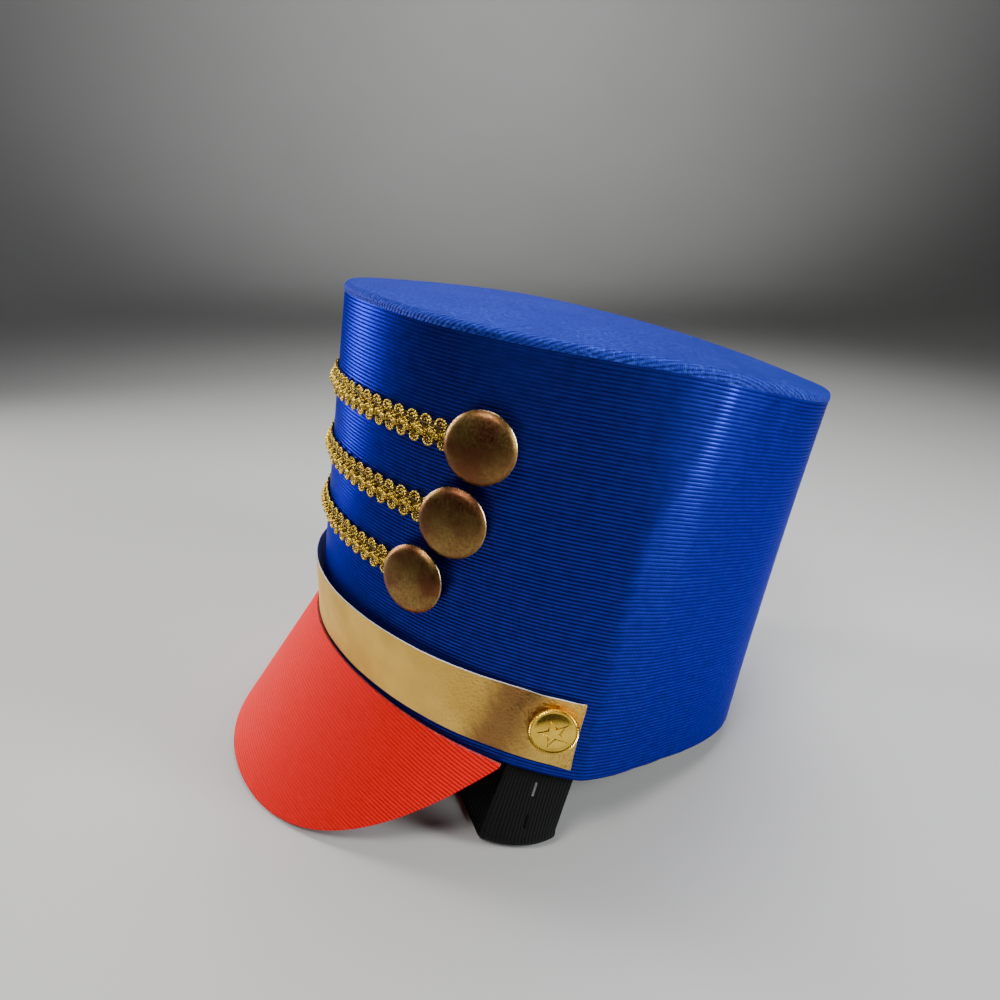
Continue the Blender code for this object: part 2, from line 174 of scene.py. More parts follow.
class HatSizes(bpy.types.PropertyGroup):
    rib_pitch: FloatProperty(
        name="Rib pitch", description="Distance between two ribs of the satin",
        default=1.31 * MM, unit="LENGTH", precision=5)
    rib_height: FloatProperty(
        name="Rib height", description="Depth of the groove between two ribs",
        default=0.16 * MM, unit="LENGTH", precision=5)
    crease_height: FloatProperty(
        name="Crease height", description="How far the side crease stands out",
        default=0.9 * MM, unit="LENGTH", precision=5)
    cord_radius: FloatProperty(
        name="Gimp cord radius", description="Radius of one twisted cord of the braids",
        default=0.47 * MM, unit="LENGTH", precision=5)
    braid_repeat: FloatProperty(
        name="Braid repeat", description="Distance between two loops along a braid",
        default=5.65 * MM, unit="LENGTH", precision=5)
    mill_count: IntProperty(
        name="Mill count", description="Notches round the star button's edge",
        default=60, min=12, max=120)


class HatColours(bpy.types.PropertyGroup):
    blue: FloatVectorProperty(
        name="Blue", description="Satin of the crown", subtype="COLOR", size=3,
        min=0.0, max=1.0, default=(0.0055, 0.0065, 0.110))
    # Painted highlight: the next colour is the lit rib crests of the crown's satin.
    blue_thread_highlight: FloatVectorProperty(
        name="Blue thread", description="Lit threads of the crown's satin", subtype="COLOR",
        size=3, min=0.0, max=1.0, default=(0.036, 0.056, 0.64))
    red: FloatVectorProperty(
        name="Red", description="Satin of the visor", subtype="COLOR", size=3,
        min=0.0, max=1.0, default=(0.80, 0.006, 0.006))
    # Painted highlight: the next colour is the lit rib crests of the visor's satin.
    red_thread_highlight: FloatVectorProperty(
        name="Red thread", description="Lit threads of the visor's satin", subtype="COLOR",
        size=3, min=0.0, max=1.0, default=(0.98, 0.010, 0.014))
    foil: FloatVectorProperty(
        name="Foil", description="Gold foil of the band", subtype="COLOR", size=3,
        min=0.0, max=1.0, default=(0.82, 0.54, 0.12))
    gold_thread: FloatVectorProperty(
        name="Gold thread", description="Metal thread of the braids", subtype="COLOR",
        size=3, min=0.0, max=1.0, default=(0.78, 0.54, 0.065))
    patina: FloatVectorProperty(
        name="Patina", description="Dark brass of the large buttons", subtype="COLOR",
        size=3, min=0.0, max=1.0, default=(0.125, 0.080, 0.038))
    brass: FloatVectorProperty(
        name="Brass", description="Bright brass of the star buttons", subtype="COLOR",
        size=3, min=0.0, max=1.0, default=(0.95, 0.63, 0.080))
    elastic: FloatVectorProperty(
        name="Elastic", description="Chin strap", subtype="COLOR", size=3,
        min=0.0, max=1.0, default=(0.004, 0.004, 0.0045))


# Shape of the hat, for arrays of angles and heights
def table_at(shares, angle):
    ring = np.array(list(shares) + list(shares[-2:0:-1]))
    place = np.mod(angle, 360.0) / 30.0
    index = np.floor(place).astype(int)
    t = place - index
    a, b, c, d = (ring[(index + k) % 12] for k in (-1, 0, 1, 2))
    return 0.5 * (2 * b + (c - a) * t + (2 * a - 5 * b + 4 * c - d) * t ** 2
                  + (3 * b - a - 3 * c + d) * t ** 3)


def side_of(angle):
    return np.abs(np.mod(np.asarray(angle, float) + 180.0, 360.0) - 180.0)


def fold(table, angle):
    places, shares = zip(*table)
    return np.interp(side_of(angle), places, shares)


def side_rise(angle):
    away = (side_of(angle) - TOP_RISE_ANGLE) / TOP_RISE_SPREAD
    return TOP_RISE * np.exp(-away ** 2)


def outward(angle):
    a = np.radians(angle)
    return np.stack([np.sin(a), -np.cos(a), np.zeros_like(a)], axis=-1)


def rim_point(angle):
    share = table_at(RIM_SHARES, angle) + fold(RIM_FOLD, angle)
    return outward(angle) * (RIM_HALF_WIDTH * share)[..., None]


def top_point(angle):
    share = table_at(TOP_SHARES, angle) + fold(TOP_FOLD, angle)
    point = outward(angle) * (TOP_HALF_WIDTH * share)[..., None]
    point[..., 1] -= TOP_SHIFT_FORWARD
    point[..., 2] = CROWN_HEIGHT + TOP_SLOPE * point[..., 1] + side_rise(angle)
    return point


def wall_point(angle, height):
    angle, height = np.broadcast_arrays(np.asarray(angle, float), np.asarray(height, float))
    share = (height / CROWN_HEIGHT)[..., None]
    plain = rim_point(angle) * (1.0 - share) + top_point(angle) * share
    behind = np.maximum(0.0, -np.cos(np.radians(angle)))[..., None]
    return plain - outward(angle) * BACK_HOLLOW * behind * 4.0 * share * (1.0 - share)


def unit(vectors):
    return vectors / np.linalg.norm(vectors, axis=-1, keepdims=True)


def wall_normal(angle, height):
    angle, height = np.broadcast_arrays(np.asarray(angle, float), np.asarray(height, float))
    along = wall_point(angle + 1.0, height) - wall_point(angle - 1.0, height)
    return unit(np.cross(along, top_point(angle) - rim_point(angle)))


def wall_out(angle, height, off):
    """Points off the wall by a distance along its normal."""
    off = np.broadcast_to(np.asarray(off, float), np.broadcast(angle, height, off).shape)
    return wall_point(angle, height) + wall_normal(angle, height) * off[..., None]


def stand(points):
    """From the hat's own frame to the row frame."""
    a = math.radians(LEAN)
    y, z = points[..., 1], points[..., 2]
    moved = np.stack([points[..., 0], y * math.cos(a) + z * math.sin(a),
                      z * math.cos(a) - y * math.sin(a)], axis=-1)
    return moved + np.array(STAND_SHIFT)


def stand_frame(angle, height, off):
    """Place and turn of a piece that sits on the wall: x along, y up, z outwards."""
    angle, height = np.array(angle), np.array(height)
    place = wall_out(angle, height, np.array(off))
    normal = wall_normal(angle, height)
    up = unit(top_point(angle) - rim_point(angle))
    tangent = unit(np.cross(up, normal))
    side = np.cross(normal, tangent)
    lean = Matrix.Rotation(math.radians(-LEAN), 4, "X")
    turn = Matrix((tangent, side, normal)).transposed().to_4x4()
    spot = Vector(stand(place))
    return Matrix.Translation(spot) @ lean @ turn


def arc_table(height, half_angle):
    """Angles and their distances along the wall from the front, at one height."""
    angles = np.linspace(-half_angle, half_angle, 721)
    points = wall_point(angles, height)
    steps = np.linalg.norm(np.diff(points, axis=0), axis=1)
    run = np.concatenate([[0.0], np.cumsum(steps)])
    return angles, run - np.interp(0.0, angles, run)


# Mesh helpers
def deselect():
    if bpy.context.object and bpy.context.object.mode != "OBJECT":
        bpy.ops.object.mode_set(mode="OBJECT")
    bpy.ops.object.select_all(action="DESELECT")


def take(piece):
    """Makes the piece the only one that operators act on."""
    deselect()
    piece.select_set(True)
    bpy.context.view_layer.objects.active = piece


def named(name):
    piece = bpy.context.object
    piece.name = name
    piece.data.name = name
    return piece


def grid_piece(name, columns, rows, rule):
    """A grid whose points and UVs, in metres, come from rule(u, v), both 0 to 1."""
    deselect()
    bpy.ops.mesh.primitive_grid_add(x_subdivisions=columns, y_subdivisions=rows, size=1.0)
    piece = named(name)
    mesh = piece.data
    flat = np.empty(len(mesh.vertices) * 3)
    mesh.vertices.foreach_get("co", flat)
    flat = flat.reshape(-1, 3) + 0.5
    points, chart = rule(flat[:, 0], flat[:, 1])
    mesh.vertices.foreach_set("co", points.ravel())
    corners = np.empty(len(mesh.loops), dtype=np.int32)
    mesh.loops.foreach_get("vertex_index", corners)
    layer = mesh.uv_layers.active or mesh.uv_layers.new(name="UVMap")
    layer.data.foreach_set("uv", chart[corners].astype(np.float32).ravel())
    mesh.update()
    return piece


def weld(piece, distance=1e-6):
    take(piece)
    bpy.ops.object.mode_set(mode="EDIT")
    bpy.ops.mesh.select_all(action="SELECT")
    bpy.ops.mesh.remove_doubles(threshold=distance)
    bpy.ops.object.mode_set(mode="OBJECT")


def apply_modifier(piece, name, kind, **settings):
    take(piece)
    made = piece.modifiers.new(name, kind)
    for key, value in settings.items():
        setattr(made, key, value)
    bpy.ops.object.modifier_apply(modifier=made.name)


def thicken(piece, thickness, offset=-1.0, inside=0, edge=0):
    apply_modifier(piece, "Thickness", "SOLIDIFY", thickness=thickness, offset=offset,
                   use_even_offset=True, material_offset=inside, material_offset_rim=edge)


def round_edges(piece, width, segments=2, angle=50.0):
    apply_modifier(piece, "Rounded edges", "BEVEL", width=width, segments=segments,
                   limit_method="ANGLE", angle_limit=math.radians(angle))


def smooth(piece, angle=40.0):
    take(piece)
    bpy.ops.object.shade_smooth_by_angle(angle=math.radians(angle))


def turned(name, profile, steps):
    """Turned on the z axis from (radius, height), bottom middle to top middle."""
    deselect()
    radius, height = profile[1]
    bpy.ops.mesh.primitive_circle_add(vertices=steps, radius=radius, fill_type="TRIFAN",
                                      location=(0.0, 0.0, 0.0))
    piece = named(name)
    for vertex in piece.data.vertices:
        vertex.co.z = height if vertex.co.xy.length > radius * 0.5 else profile[0][1]
    bpy.ops.object.mode_set(mode="EDIT")
    shell = bmesh.from_edit_mesh(piece.data)
    for edge in shell.edges:
        edge.select_set(edge.is_boundary)
    shell.select_flush_mode()
    bmesh.update_edit_mesh(piece.data)
    for r, h in profile[2:]:
        last = max(r, 1e-7)
        bpy.ops.mesh.extrude_region_move(TRANSFORM_OT_translate={"value": (0, 0, h - height)})
        bpy.ops.transform.resize(value=(last / radius, last / radius, 1.0),
                                 center_override=(0.0, 0.0, h))
        radius, height = last, h
    bpy.ops.mesh.merge(type="CENTER")
    bpy.ops.mesh.select_all(action="SELECT")
    bpy.ops.mesh.normals_make_consistent(inside=False)
    bpy.ops.object.mode_set(mode="OBJECT")
    return piece


def set_in_place(piece, matrix):
    piece.matrix_world = matrix
    take(piece)
    bpy.ops.object.transform_apply(location=True, rotation=True, scale=True)


def copied(piece):
    copy = piece.copy()
    copy.data = piece.data.copy()
    bpy.context.scene.collection.objects.link(copy)
    return copy


def joined(name, pieces):
    deselect()
    for piece in pieces:
        piece.select_set(True)
    bpy.context.view_layer.objects.active = pieces[0]
    bpy.ops.object.join()
    return named(name)


def dress(piece, *materials):
    piece.data.materials.clear()
    for made in materials:
        piece.data.materials.append(made)


def hand_over(piece, slot, *nodes):
    """The piece rides on the hat and stands for its CAD nodes."""
    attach(piece, "root")
    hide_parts(*nodes)


# Shader helpers
class Nodes:
    """Short calls for the nodes of one tree."""

    def __init__(self, tree):
        self.tree = tree

    def add(self, kind, values=(), **settings):
        node = self.tree.nodes.new(kind)
        for key, value in settings.items():
            setattr(node, key, value)
        for key, value in dict(values).items():
            if isinstance(value, bpy.types.NodeSocket):
                self.link(value, node.inputs[key])
            else:
                node.inputs[key].default_value = value
        return node

    def link(self, value, socket):
        self.tree.links.new(value, socket)

    def math(self, operation, a, b=0.0):
        return self.add("ShaderNodeMath", {0: a, 1: b}, operation=operation).outputs[0]

    def plus(self, a, b):
        return self.math("ADD", a, b)

    def times(self, a, b):
        return self.math("MULTIPLY", a, b)

    def scaled(self, value, times, plus):
        node = self.add("ShaderNodeMath", {0: value, 1: times, 2: plus},
                        operation="MULTIPLY_ADD")
        return node.outputs[0]

    def spread(self, value, low, high, to_low=0.0, to_high=1.0):
        node = self.add("ShaderNodeMapRange", {
            "Value": value, "From Min": low, "From Max": high,
            "To Min": to_low, "To Max": to_high}, interpolation_type="SMOOTHSTEP")
        return node.outputs[0]

    def noise(self, vector, scale, detail=3.0, rough=0.55):
        node = self.add("ShaderNodeTexNoise", {
            "Vector": vector, "Scale": scale, "Detail": detail, "Roughness": rough})
        return node.outputs["Fac"]

    def mix(self, share, a, b):
        node = self.add("ShaderNodeMix", {0: share, 6: a, 7: b}, data_type="RGBA")
        return node.outputs[2]

    def split(self, vector):
        return self.add("ShaderNodeSeparateXYZ", {0: vector}).outputs

    def join(self, x, y, z=0.0):
        return self.add("ShaderNodeCombineXYZ", {0: x, 1: y, 2: z}).outputs[0]


def rgba(colour):
    return (*colour, 1.0)


def group_tree(name, inputs, outputs):
    tree = bpy.data.node_groups.new(name, "ShaderNodeTree")
    for label, kind, value in inputs:
        socket = tree.interface.new_socket(label, in_out="INPUT", socket_type=kind)
        if value is not None:
            socket.default_value = value
    for label, kind in outputs:
        tree.interface.new_socket(label, in_out="OUTPUT", socket_type=kind)
    kit = Nodes(tree)
    return tree, kit, kit.add("NodeGroupInput").outputs, kit.add("NodeGroupOutput").inputs


def ribbed_satin_group():
    """Ribs across the chart's v, threads along u: colour, roughness and height. The colour is
    painted light: a highlight on the rib crests and thread dots, shade in the grooves.
    """
    tree, kit, source, result = group_tree("ribbed_satin", (
        ("Chart", "NodeSocketVector", None),
        ("Base", "NodeSocketColor", (0.0, 0.0, 0.3, 1.0)),
        ("Thread", "NodeSocketColor", (0.1, 0.2, 0.8, 1.0)),
        ("Pitch", "NodeSocketFloat", 0.0013),
        ("Thread Pitch", "NodeSocketFloat", 0.0005),
        ("Wander", "NodeSocketFloat", 0.0001),
        ("Roughness", "NodeSocketFloat", 0.4),
    ), (("Colour", "NodeSocketColor"), ("Roughness", "NodeSocketFloat"),
        ("Height", "NodeSocketFloat")))
    chart = kit.split(source["Chart"])
    slow = kit.noise(source["Chart"], 45.0, 2.0)
    drift = kit.times(kit.math("SUBTRACT", slow, 0.5), source["Wander"])
    across = kit.plus(chart[1], drift)
    turn = kit.math("DIVIDE", across, source["Pitch"])
    wave = kit.math("COSINE", kit.times(turn, 2 * math.pi))
    rib = kit.scaled(wave, 0.5, 0.5)
    crest = kit.math("POWER", rib, 0.6)
    row = kit.math("FLOOR", kit.plus(turn, 0.5))
    odd = kit.times(row, 0.37)
    step = kit.plus(kit.math("DIVIDE", chart[0], source["Thread Pitch"]), odd)
    dot = kit.math("COSINE", kit.times(step, 2 * math.pi))
    dot = kit.spread(dot, -0.2, 0.9)
    grain = kit.noise(source["Chart"], 1400.0, 2.0, 0.6)
    height = kit.plus(crest, kit.times(dot, kit.times(rib, 0.10)))
    height = kit.plus(height, kit.times(grain, 0.10))
    # Painted light: crests and thread dots take the Thread colour as a painted highlight,
    # grooves keep the Base colour as painted shade; the shade noise only varies the highlight
    # at random.
    lit = kit.times(crest, kit.scaled(dot, 0.75, 0.25))
    shade = kit.noise(source["Chart"], 260.0, 3.0, 0.6)
    lit = kit.times(lit, kit.spread(shade, 0.25, 0.75, 0.55, 1.0))
    kit.link(kit.mix(lit, source["Base"], source["Thread"]), result["Colour"])
    rough = kit.plus(source["Roughness"], kit.times(grain, 0.14))
    kit.link(rough, result["Roughness"])
    kit.link(height, result["Height"])
    return tree


def twisted_cord_group():
    """Two strands twisted together, along the chart's u: a mask and a height."""
    tree, kit, source, result = group_tree("twisted_cord", (
        ("Chart", "NodeSocketVector", None), ("Twist", "NodeSocketFloat", 0.0012),
    ), (("Strand", "NodeSocketFloat"), ("Height", "NodeSocketFloat")))
    chart = kit.split(source["Chart"])
    turn = kit.plus(kit.math("DIVIDE", chart[0], source["Twist"]), chart[1])
    wave = kit.math("ABSOLUTE", kit.math("SINE", kit.times(turn, math.pi)))
    fine = kit.plus(kit.times(turn, 5.0), kit.times(chart[1], 3.0))
    thread = kit.math("ABSOLUTE", kit.math("SINE", kit.times(fine, math.pi)))
    height = kit.plus(wave, kit.times(thread, 0.2))
    kit.link(wave, result["Strand"])
    kit.link(height, result["Height"])
    return tree


def tarnish_group():
    """Cloudy tarnish: a soft mask, a speckle mask and the raw speckle noise for the height."""
    tree, kit, source, result = group_tree("tarnish", (
        ("Vector", "NodeSocketVector", None), ("Cloud Scale", "NodeSocketFloat", 90.0),
        ("Speckle Scale", "NodeSocketFloat", 900.0),
    ), (("Cloud", "NodeSocketFloat"), ("Speckle", "NodeSocketFloat"),
        ("Height", "NodeSocketFloat")))
    cloud = kit.spread(kit.noise(source["Vector"], source["Cloud Scale"], 4.0), 0.35, 0.65)
    speckle = kit.noise(source["Vector"], source["Speckle Scale"], 3.0, 0.7)
    kit.link(cloud, result["Cloud"])
    kit.link(kit.spread(speckle, 0.42, 0.62), result["Speckle"])
    kit.link(speckle, result["Height"])
    return tree


GROUPS = {"ribbed_satin": ribbed_satin_group, "twisted_cord": twisted_cord_group,
          "tarnish": tarnish_group}


def group(name):
    return bpy.data.node_groups.get(name) or GROUPS[name]()


def material(name, constants):
    made = bpy.data.materials.new(name)
    made.use_nodes = True
    kit = Nodes(made.node_tree)
    shader = made.node_tree.nodes["Principled BSDF"]
    for key, value in constants.items():
        shader.inputs[key].default_value = value
    return made, kit, shader


def bump(kit, shader, height, distance):
    node = kit.add("ShaderNodeBump", {"Height": height, "Distance": distance,
                                      "Strength": 1.0})
    kit.link(node.outputs["Normal"], shader.inputs["Normal"])


def place_group(kit, name, values):
    return kit.add("ShaderNodeGroup", values, node_tree=group(name)).outputs


def satin(name, base, thread, gloss, roughness, depth, swap=False, fuzz=0.0):
    """Ribbed satin, its colour painted light: base is the painted shade of the grooves, thread
    the painted highlight of the crests. swap lays the ribs along the chart's u, and fuzz
    raises a pale nap.
    """
    sizes = bpy.context.scene.hat_sizes
    made, kit, shader = material(name, {
        "Metallic": gloss, "Specular IOR Level": 0.25,
        "Specular Tint": rgba([min(1.0, c * 2.0 + 0.1) for c in thread])})
    chart = kit.add("ShaderNodeTexCoord").outputs["UV"]
    if swap:
        parts = kit.split(chart)
        chart = kit.join(parts[1], parts[0])
    cloth = place_group(kit, "ribbed_satin", {
        "Chart": chart, "Base": rgba(base), "Thread": rgba(thread),
        "Pitch": sizes.rib_pitch, "Thread Pitch": THREAD_PITCH, "Wander": RIB_WANDER,
        "Roughness": roughness})
    colour, height = cloth["Colour"], cloth["Height"]
    if fuzz:
        nap = kit.spread(kit.noise(chart, 700.0, 4.0, 0.75), 0.46, 0.66)
        patch = kit.spread(kit.noise(chart, 38.0, 3.0, 0.6), 0.35, 0.70, 0.45, 1.0)
        lift = kit.times(kit.times(nap, patch), fuzz)
        colour = kit.mix(lift, colour, NAP_COLOUR)
        height = kit.plus(height, kit.times(nap, 0.6))
    kit.link(colour, shader.inputs["Base Color"])
    kit.link(cloth["Roughness"], shader.inputs["Roughness"])
    bump(kit, shader, height, sizes.rib_height * depth)
    return made


def board_material():
    """Stiff liner inside the crown: dark woven buckram."""
    made, kit, shader = material("liner_board", {
        "Specular IOR Level": 0.25, "Roughness": 0.85})
    chart = kit.split(kit.add("ShaderNodeTexCoord").outputs["UV"])
    weave = []
    for side in (0, 1):
        turn = kit.times(chart[side], 2 * math.pi / (1.1 * MM))
        weave.append(kit.math("ABSOLUTE", kit.math("SINE", turn)))
    height = kit.times(weave[0], weave[1])
    colour = kit.mix(height, (0.010, 0.010, 0.013, 1.0), (0.035, 0.036, 0.042, 1.0))
    kit.link(colour, shader.inputs["Base Color"])
    bump(kit, shader, height, 0.15 * MM)
    return made


def foil_material():
    """Gold foil on thin leathercloth: smooth in front, crinkled towards its ends."""
    foil = bpy.context.scene.hat_colours.foil
    made, kit, shader = material("gold_foil", {
        "Metallic": 1.0, "Specular Tint": (1.0, 0.93, 0.80, 1.0)})
    source = kit.add("ShaderNodeTexCoord")
    chart = kit.split(source.outputs["UV"])
    away = kit.math("ABSOLUTE", chart[0])
    crinkle = kit.spread(away, 62 * MM, 104 * MM, 0.06, 1.0)
    grain = kit.noise(source.outputs["UV"], 900.0, 3.0, 0.6)
    slanted = kit.join(kit.plus(chart[0], kit.times(chart[1], 0.6)), kit.times(chart[1], 0.45))
    folds = kit.noise(slanted, 330.0, 3.0, 0.6)
    fine = kit.noise(source.outputs["UV"], 2600.0, 2.0, 0.6)
    height = kit.times(kit.plus(grain, kit.times(folds, 0.6)), crinkle)
    height = kit.plus(height, kit.times(fine, 0.07))
    stain = kit.spread(kit.noise(source.outputs["UV"], 38.0, 3.0), 0.3, 0.7)
    light = rgba([min(1.0, c * 1.12) for c in foil])
    dark = rgba([c * s for c, s in zip(foil, (0.88, 0.82, 0.74))])
    colour = kit.mix(stain, light, dark)
    # Painted reflection: a ragged dark brown stretch, about 86 to 118 mm from the front,
    # stands for the dark reflection the foil shows towards its ends.
    ragged = kit.plus(away, kit.times(kit.math("SUBTRACT", folds, 0.5), 9 * MM))
    ragged = kit.plus(ragged, kit.times(chart[1], -0.25))
    dark_reflection = kit.times(kit.spread(ragged, 86 * MM, 97 * MM),
                      kit.spread(ragged, 101 * MM, 118 * MM, 1.0, 0.0))
    colour = kit.mix(kit.times(dark_reflection, 0.85), colour, (0.26, 0.115, 0.045, 1.0))
    wear = kit.times(kit.spread(grain, 0.52, 0.66), crinkle)
    colour = kit.mix(kit.times(wear, 0.35), colour, (0.30, 0.17, 0.07, 1.0))
    kit.link(colour, shader.inputs["Base Color"])
    rough = kit.spread(crinkle, 0.0, 1.0, 0.40, 0.27)
    rough = kit.plus(rough, kit.times(fine, 0.08))
    kit.link(rough, shader.inputs["Roughness"])
    bump(kit, shader, height, 0.55 * MM)
    return made


def visor_edge_material():
    """Cut edge of the visor, where worn red threads show."""
    made, kit, shader = material("visor_edge", {"Specular IOR Level": 0.2, "Roughness": 0.9})
    source = kit.add("ShaderNodeTexCoord").outputs["Object"]
    threads = kit.spread(kit.noise(source, 1100.0, 2.0, 0.6), 0.40, 0.60)
    colour = kit.mix(threads, (0.42, 0.015, 0.012, 1.0), (0.48, 0.10, 0.09, 1.0))
    kit.link(colour, shader.inputs["Base Color"])
    return made


def backing_material():
    """White cloth back of the foil, which shows along its cut edges."""
    made, kit, shader = material("white_backing", {
        "Specular IOR Level": 0.3, "Roughness": 0.85})
    source = kit.add("ShaderNodeTexCoord").outputs["Object"]
    fibres = kit.noise(source, 1800.0, 3.0, 0.6)
    colour = kit.mix(fibres, (0.50, 0.47, 0.42, 1.0), (0.86, 0.83, 0.78, 1.0))
    kit.link(colour, shader.inputs["Base Color"])
    bump(kit, shader, fibres, 0.08 * MM)
    return made


def cord_material():
    """Twisted metal thread of the braids, with painted shade in the gaps between its strands.
    """
    gold = bpy.context.scene.hat_colours.gold_thread
    made, kit, shader = material("gold_cord", {
        "Metallic": 0.92, "Specular Tint": (1.0, 0.93, 0.75, 1.0)})
    source = kit.add("ShaderNodeTexCoord")
    cord = place_group(kit, "twisted_cord", {"Chart": source.outputs["UV"],
                                             "Twist": 1.05 * MM})
    dirt = kit.spread(kit.noise(source.outputs["Object"], 260.0, 3.0), 0.35, 0.7)
    # Painted shade: the gaps between the twisted strands are painted near black.
    strand_gap_shade = rgba([c * s for c, s in zip(gold, (0.20, 0.15, 0.12))])
    colour = kit.mix(kit.spread(cord["Strand"], 0.05, 0.75), strand_gap_shade, rgba(gold))
    colour = kit.mix(kit.times(dirt, 0.30), colour, (0.30, 0.17, 0.05, 1.0))
    kit.link(colour, shader.inputs["Base Color"])
    rough = kit.spread(cord["Strand"], 0.0, 1.0, 0.40, 0.20)
    kit.link(rough, shader.inputs["Roughness"])
    bump(kit, shader, cord["Height"], 0.22 * MM)
    return made


def core_material():
    """Dark thread that holds the loops of a braid together; its dark colour is also painted
    shade for the gaps between the loops.
    """
    made, kit, shader = material("braid_core", {"Metallic": 0.35, "Roughness": 0.6})
    source = kit.add("ShaderNodeTexCoord")
    chart = kit.split(source.outputs["UV"])
    turn = kit.times(chart[0], 2 * math.pi / (0.9 * MM))
    ridge = kit.math("ABSOLUTE", kit.math("SINE", turn))
    grain = kit.noise(source.outputs["Object"], 1500.0, 3.0)
    shade = kit.times(ridge, grain)
    # Painted shade: the near-black colour stands in for the shade in the gaps between the
    # loops, lighter along the twist ridges.
    colour = kit.mix(shade, (0.030, 0.017, 0.006, 1.0), (0.22, 0.14, 0.045, 1.0))
    kit.link(colour, shader.inputs["Base Color"])
    bump(kit, shader, shade, 0.25 * MM)
    return made


def patina_material():
    """Old brass: brown patina, worn bright on the edge."""
    patina = bpy.context.scene.hat_colours.patina
    made, kit, shader = material("aged_brass", {
        "Metallic": 1.0, "Specular Tint": (1.0, 0.95, 0.85, 1.0)})
    source = kit.add("ShaderNodeTexCoord")
    aged = place_group(kit, "tarnish", {"Vector": source.outputs["Object"],
                                        "Cloud Scale": 75.0, "Speckle Scale": 1100.0})
    olive = rgba([c * s for c, s in zip(patina, (2.3, 2.2, 1.35))])
    brown = rgba([c * s for c, s in zip(patina, (1.35, 0.72, 0.62))])
    colour = kit.mix(aged["Cloud"], olive, brown)
    colour = kit.mix(kit.times(aged["Speckle"], 0.45), colour, (0.10, 0.055, 0.03, 1.0))
    edge = kit.split(source.outputs["UV"])[0]
    worn = kit.spread(edge, 0.965, 0.995)
    colour = kit.mix(kit.times(worn, 0.5), colour, (0.62, 0.47, 0.24, 1.0))
    kit.link(colour, shader.inputs["Base Color"])
    rough = kit.plus(kit.times(aged["Speckle"], 0.16), 0.33)
    rough = kit.math("SUBTRACT", rough, kit.times(worn, 0.16))
    kit.link(rough, shader.inputs["Roughness"])
    bump(kit, shader, aged["Height"], 0.05 * MM)
    return made


def star_brass_material():
    brass = bpy.context.scene.hat_colours.brass
    made, kit, shader = material("bright_brass", {
        "Metallic": 1.0, "Specular Tint": (1.0, 0.95, 0.80, 1.0)})
    source = kit.add("ShaderNodeTexCoord")
    aged = place_group(kit, "tarnish", {"Vector": source.outputs["Object"],
                                        "Cloud Scale": 160.0, "Speckle Scale": 2200.0})
    dark = rgba([c * s for c, s in zip(brass, (0.74, 0.66, 0.52))])
    colour = kit.mix(kit.times(aged["Cloud"], 0.6), rgba(brass), dark)
    colour = kit.mix(kit.times(aged["Speckle"], 0.12), colour, (0.35, 0.18, 0.05, 1.0))
    kit.link(colour, shader.inputs["Base Color"])
    rough = kit.plus(kit.times(aged["Speckle"], 0.08), 0.20)
    kit.link(rough, shader.inputs["Roughness"])
    bump(kit, shader, aged["Height"], 0.03 * MM)
    return made


def star_shadow_material():
    """Painted shadow round the raised star, in dark brass."""
    made, kit, shader = material("painted_star_shadow", {"Metallic": 1.0, "Roughness": 0.45})
    source = kit.add("ShaderNodeTexCoord").outputs["Object"]
    colour = kit.mix(kit.noise(source, 900.0), (0.10, 0.045, 0.012, 1.0),
                     (0.26, 0.13, 0.03, 1.0))
    kit.link(colour, shader.inputs["Base Color"])
    return made


def elastic_material():
    """Woven elastic: lengthwise ribs crossed by fine threads."""
    black = bpy.context.scene.hat_colours.elastic
    made, kit, shader = material("black_elastic", {
        "Specular IOR Level": 0.12, "Roughness": 0.75})
    source = kit.add("ShaderNodeTexCoord")
    chart = kit.split(source.outputs["UV"])
    turn = kit.times(chart[1], math.pi / ELASTIC_RIB)
    rib = kit.math("ABSOLUTE", kit.math("SINE", turn))
    row = kit.math("FLOOR", kit.math("DIVIDE", chart[1], ELASTIC_RIB))
    cross = kit.plus(kit.math("DIVIDE", chart[0], ELASTIC_THREAD), kit.times(row, 0.5))
    cross = kit.math("ABSOLUTE", kit.math("SINE", kit.times(cross, math.pi)))
    grain = kit.noise(source.outputs["UV"], 1500.0, 3.0)
    height = kit.plus(rib, kit.times(cross, 0.4))
    height = kit.plus(height, kit.times(grain, 0.3))
    light = rgba([min(1.0, c * 2.2 + 0.002) for c in black])
    colour = kit.mix(kit.times(rib, cross), rgba(black), light)
    kit.link(colour, shader.inputs["Base Color"])
    bump(kit, shader, height, 0.16 * MM)
    return made


def floor_material():
    made, kit, shader = material("pale_floor", {
        "Specular IOR Level": 0.2, "Roughness": 0.8})
    source = kit.add("ShaderNodeTexCoord").outputs["Object"]
    tone = kit.noise(source, 3.0, 2.0)
    colour = kit.mix(tone, (0.44, 0.44, 0.435, 1.0), (0.49, 0.49, 0.485, 1.0))
    kit.link(colour, shader.inputs["Base Color"])
    return made


# Pieces
def crease_angle(height):
    """Angle of the pressed fold on each side of the crown."""
    share = np.asarray(height) / CROWN_HEIGHT
    return np.interp(share, (0.0, 0.2, 0.4, 0.60, 0.70, 0.80, 1.0),
                     (84.0, 82.5, 81.5, 82.0, 86.0, 89.5, 93.0))


def crease_rise(angle, height):
    """Height of the fold over the plain wall."""
    away = np.abs(side_of(angle) - crease_angle(height))
    low = 0.35 + 0.65 * np.clip(np.asarray(height) / (0.3 * CROWN_HEIGHT), 0.0, 1.0)
    return bpy.context.scene.hat_sizes.crease_height * low * np.exp(-away / 4.5)


def slow_waves(angle, height):
    """Soft unevenness of cloth over board."""
    a = np.radians(angle)
    h = np.asarray(height) / CROWN_HEIGHT
    wave = np.sin(3 * a + 2.2 * h) * np.sin(2.6 * h + 1.0) + 0.6 * np.sin(7 * a - 4.0 * h)
    return 0.22 * MM * wave * np.sin(np.pi * np.clip(h, 0.0, 1.0))


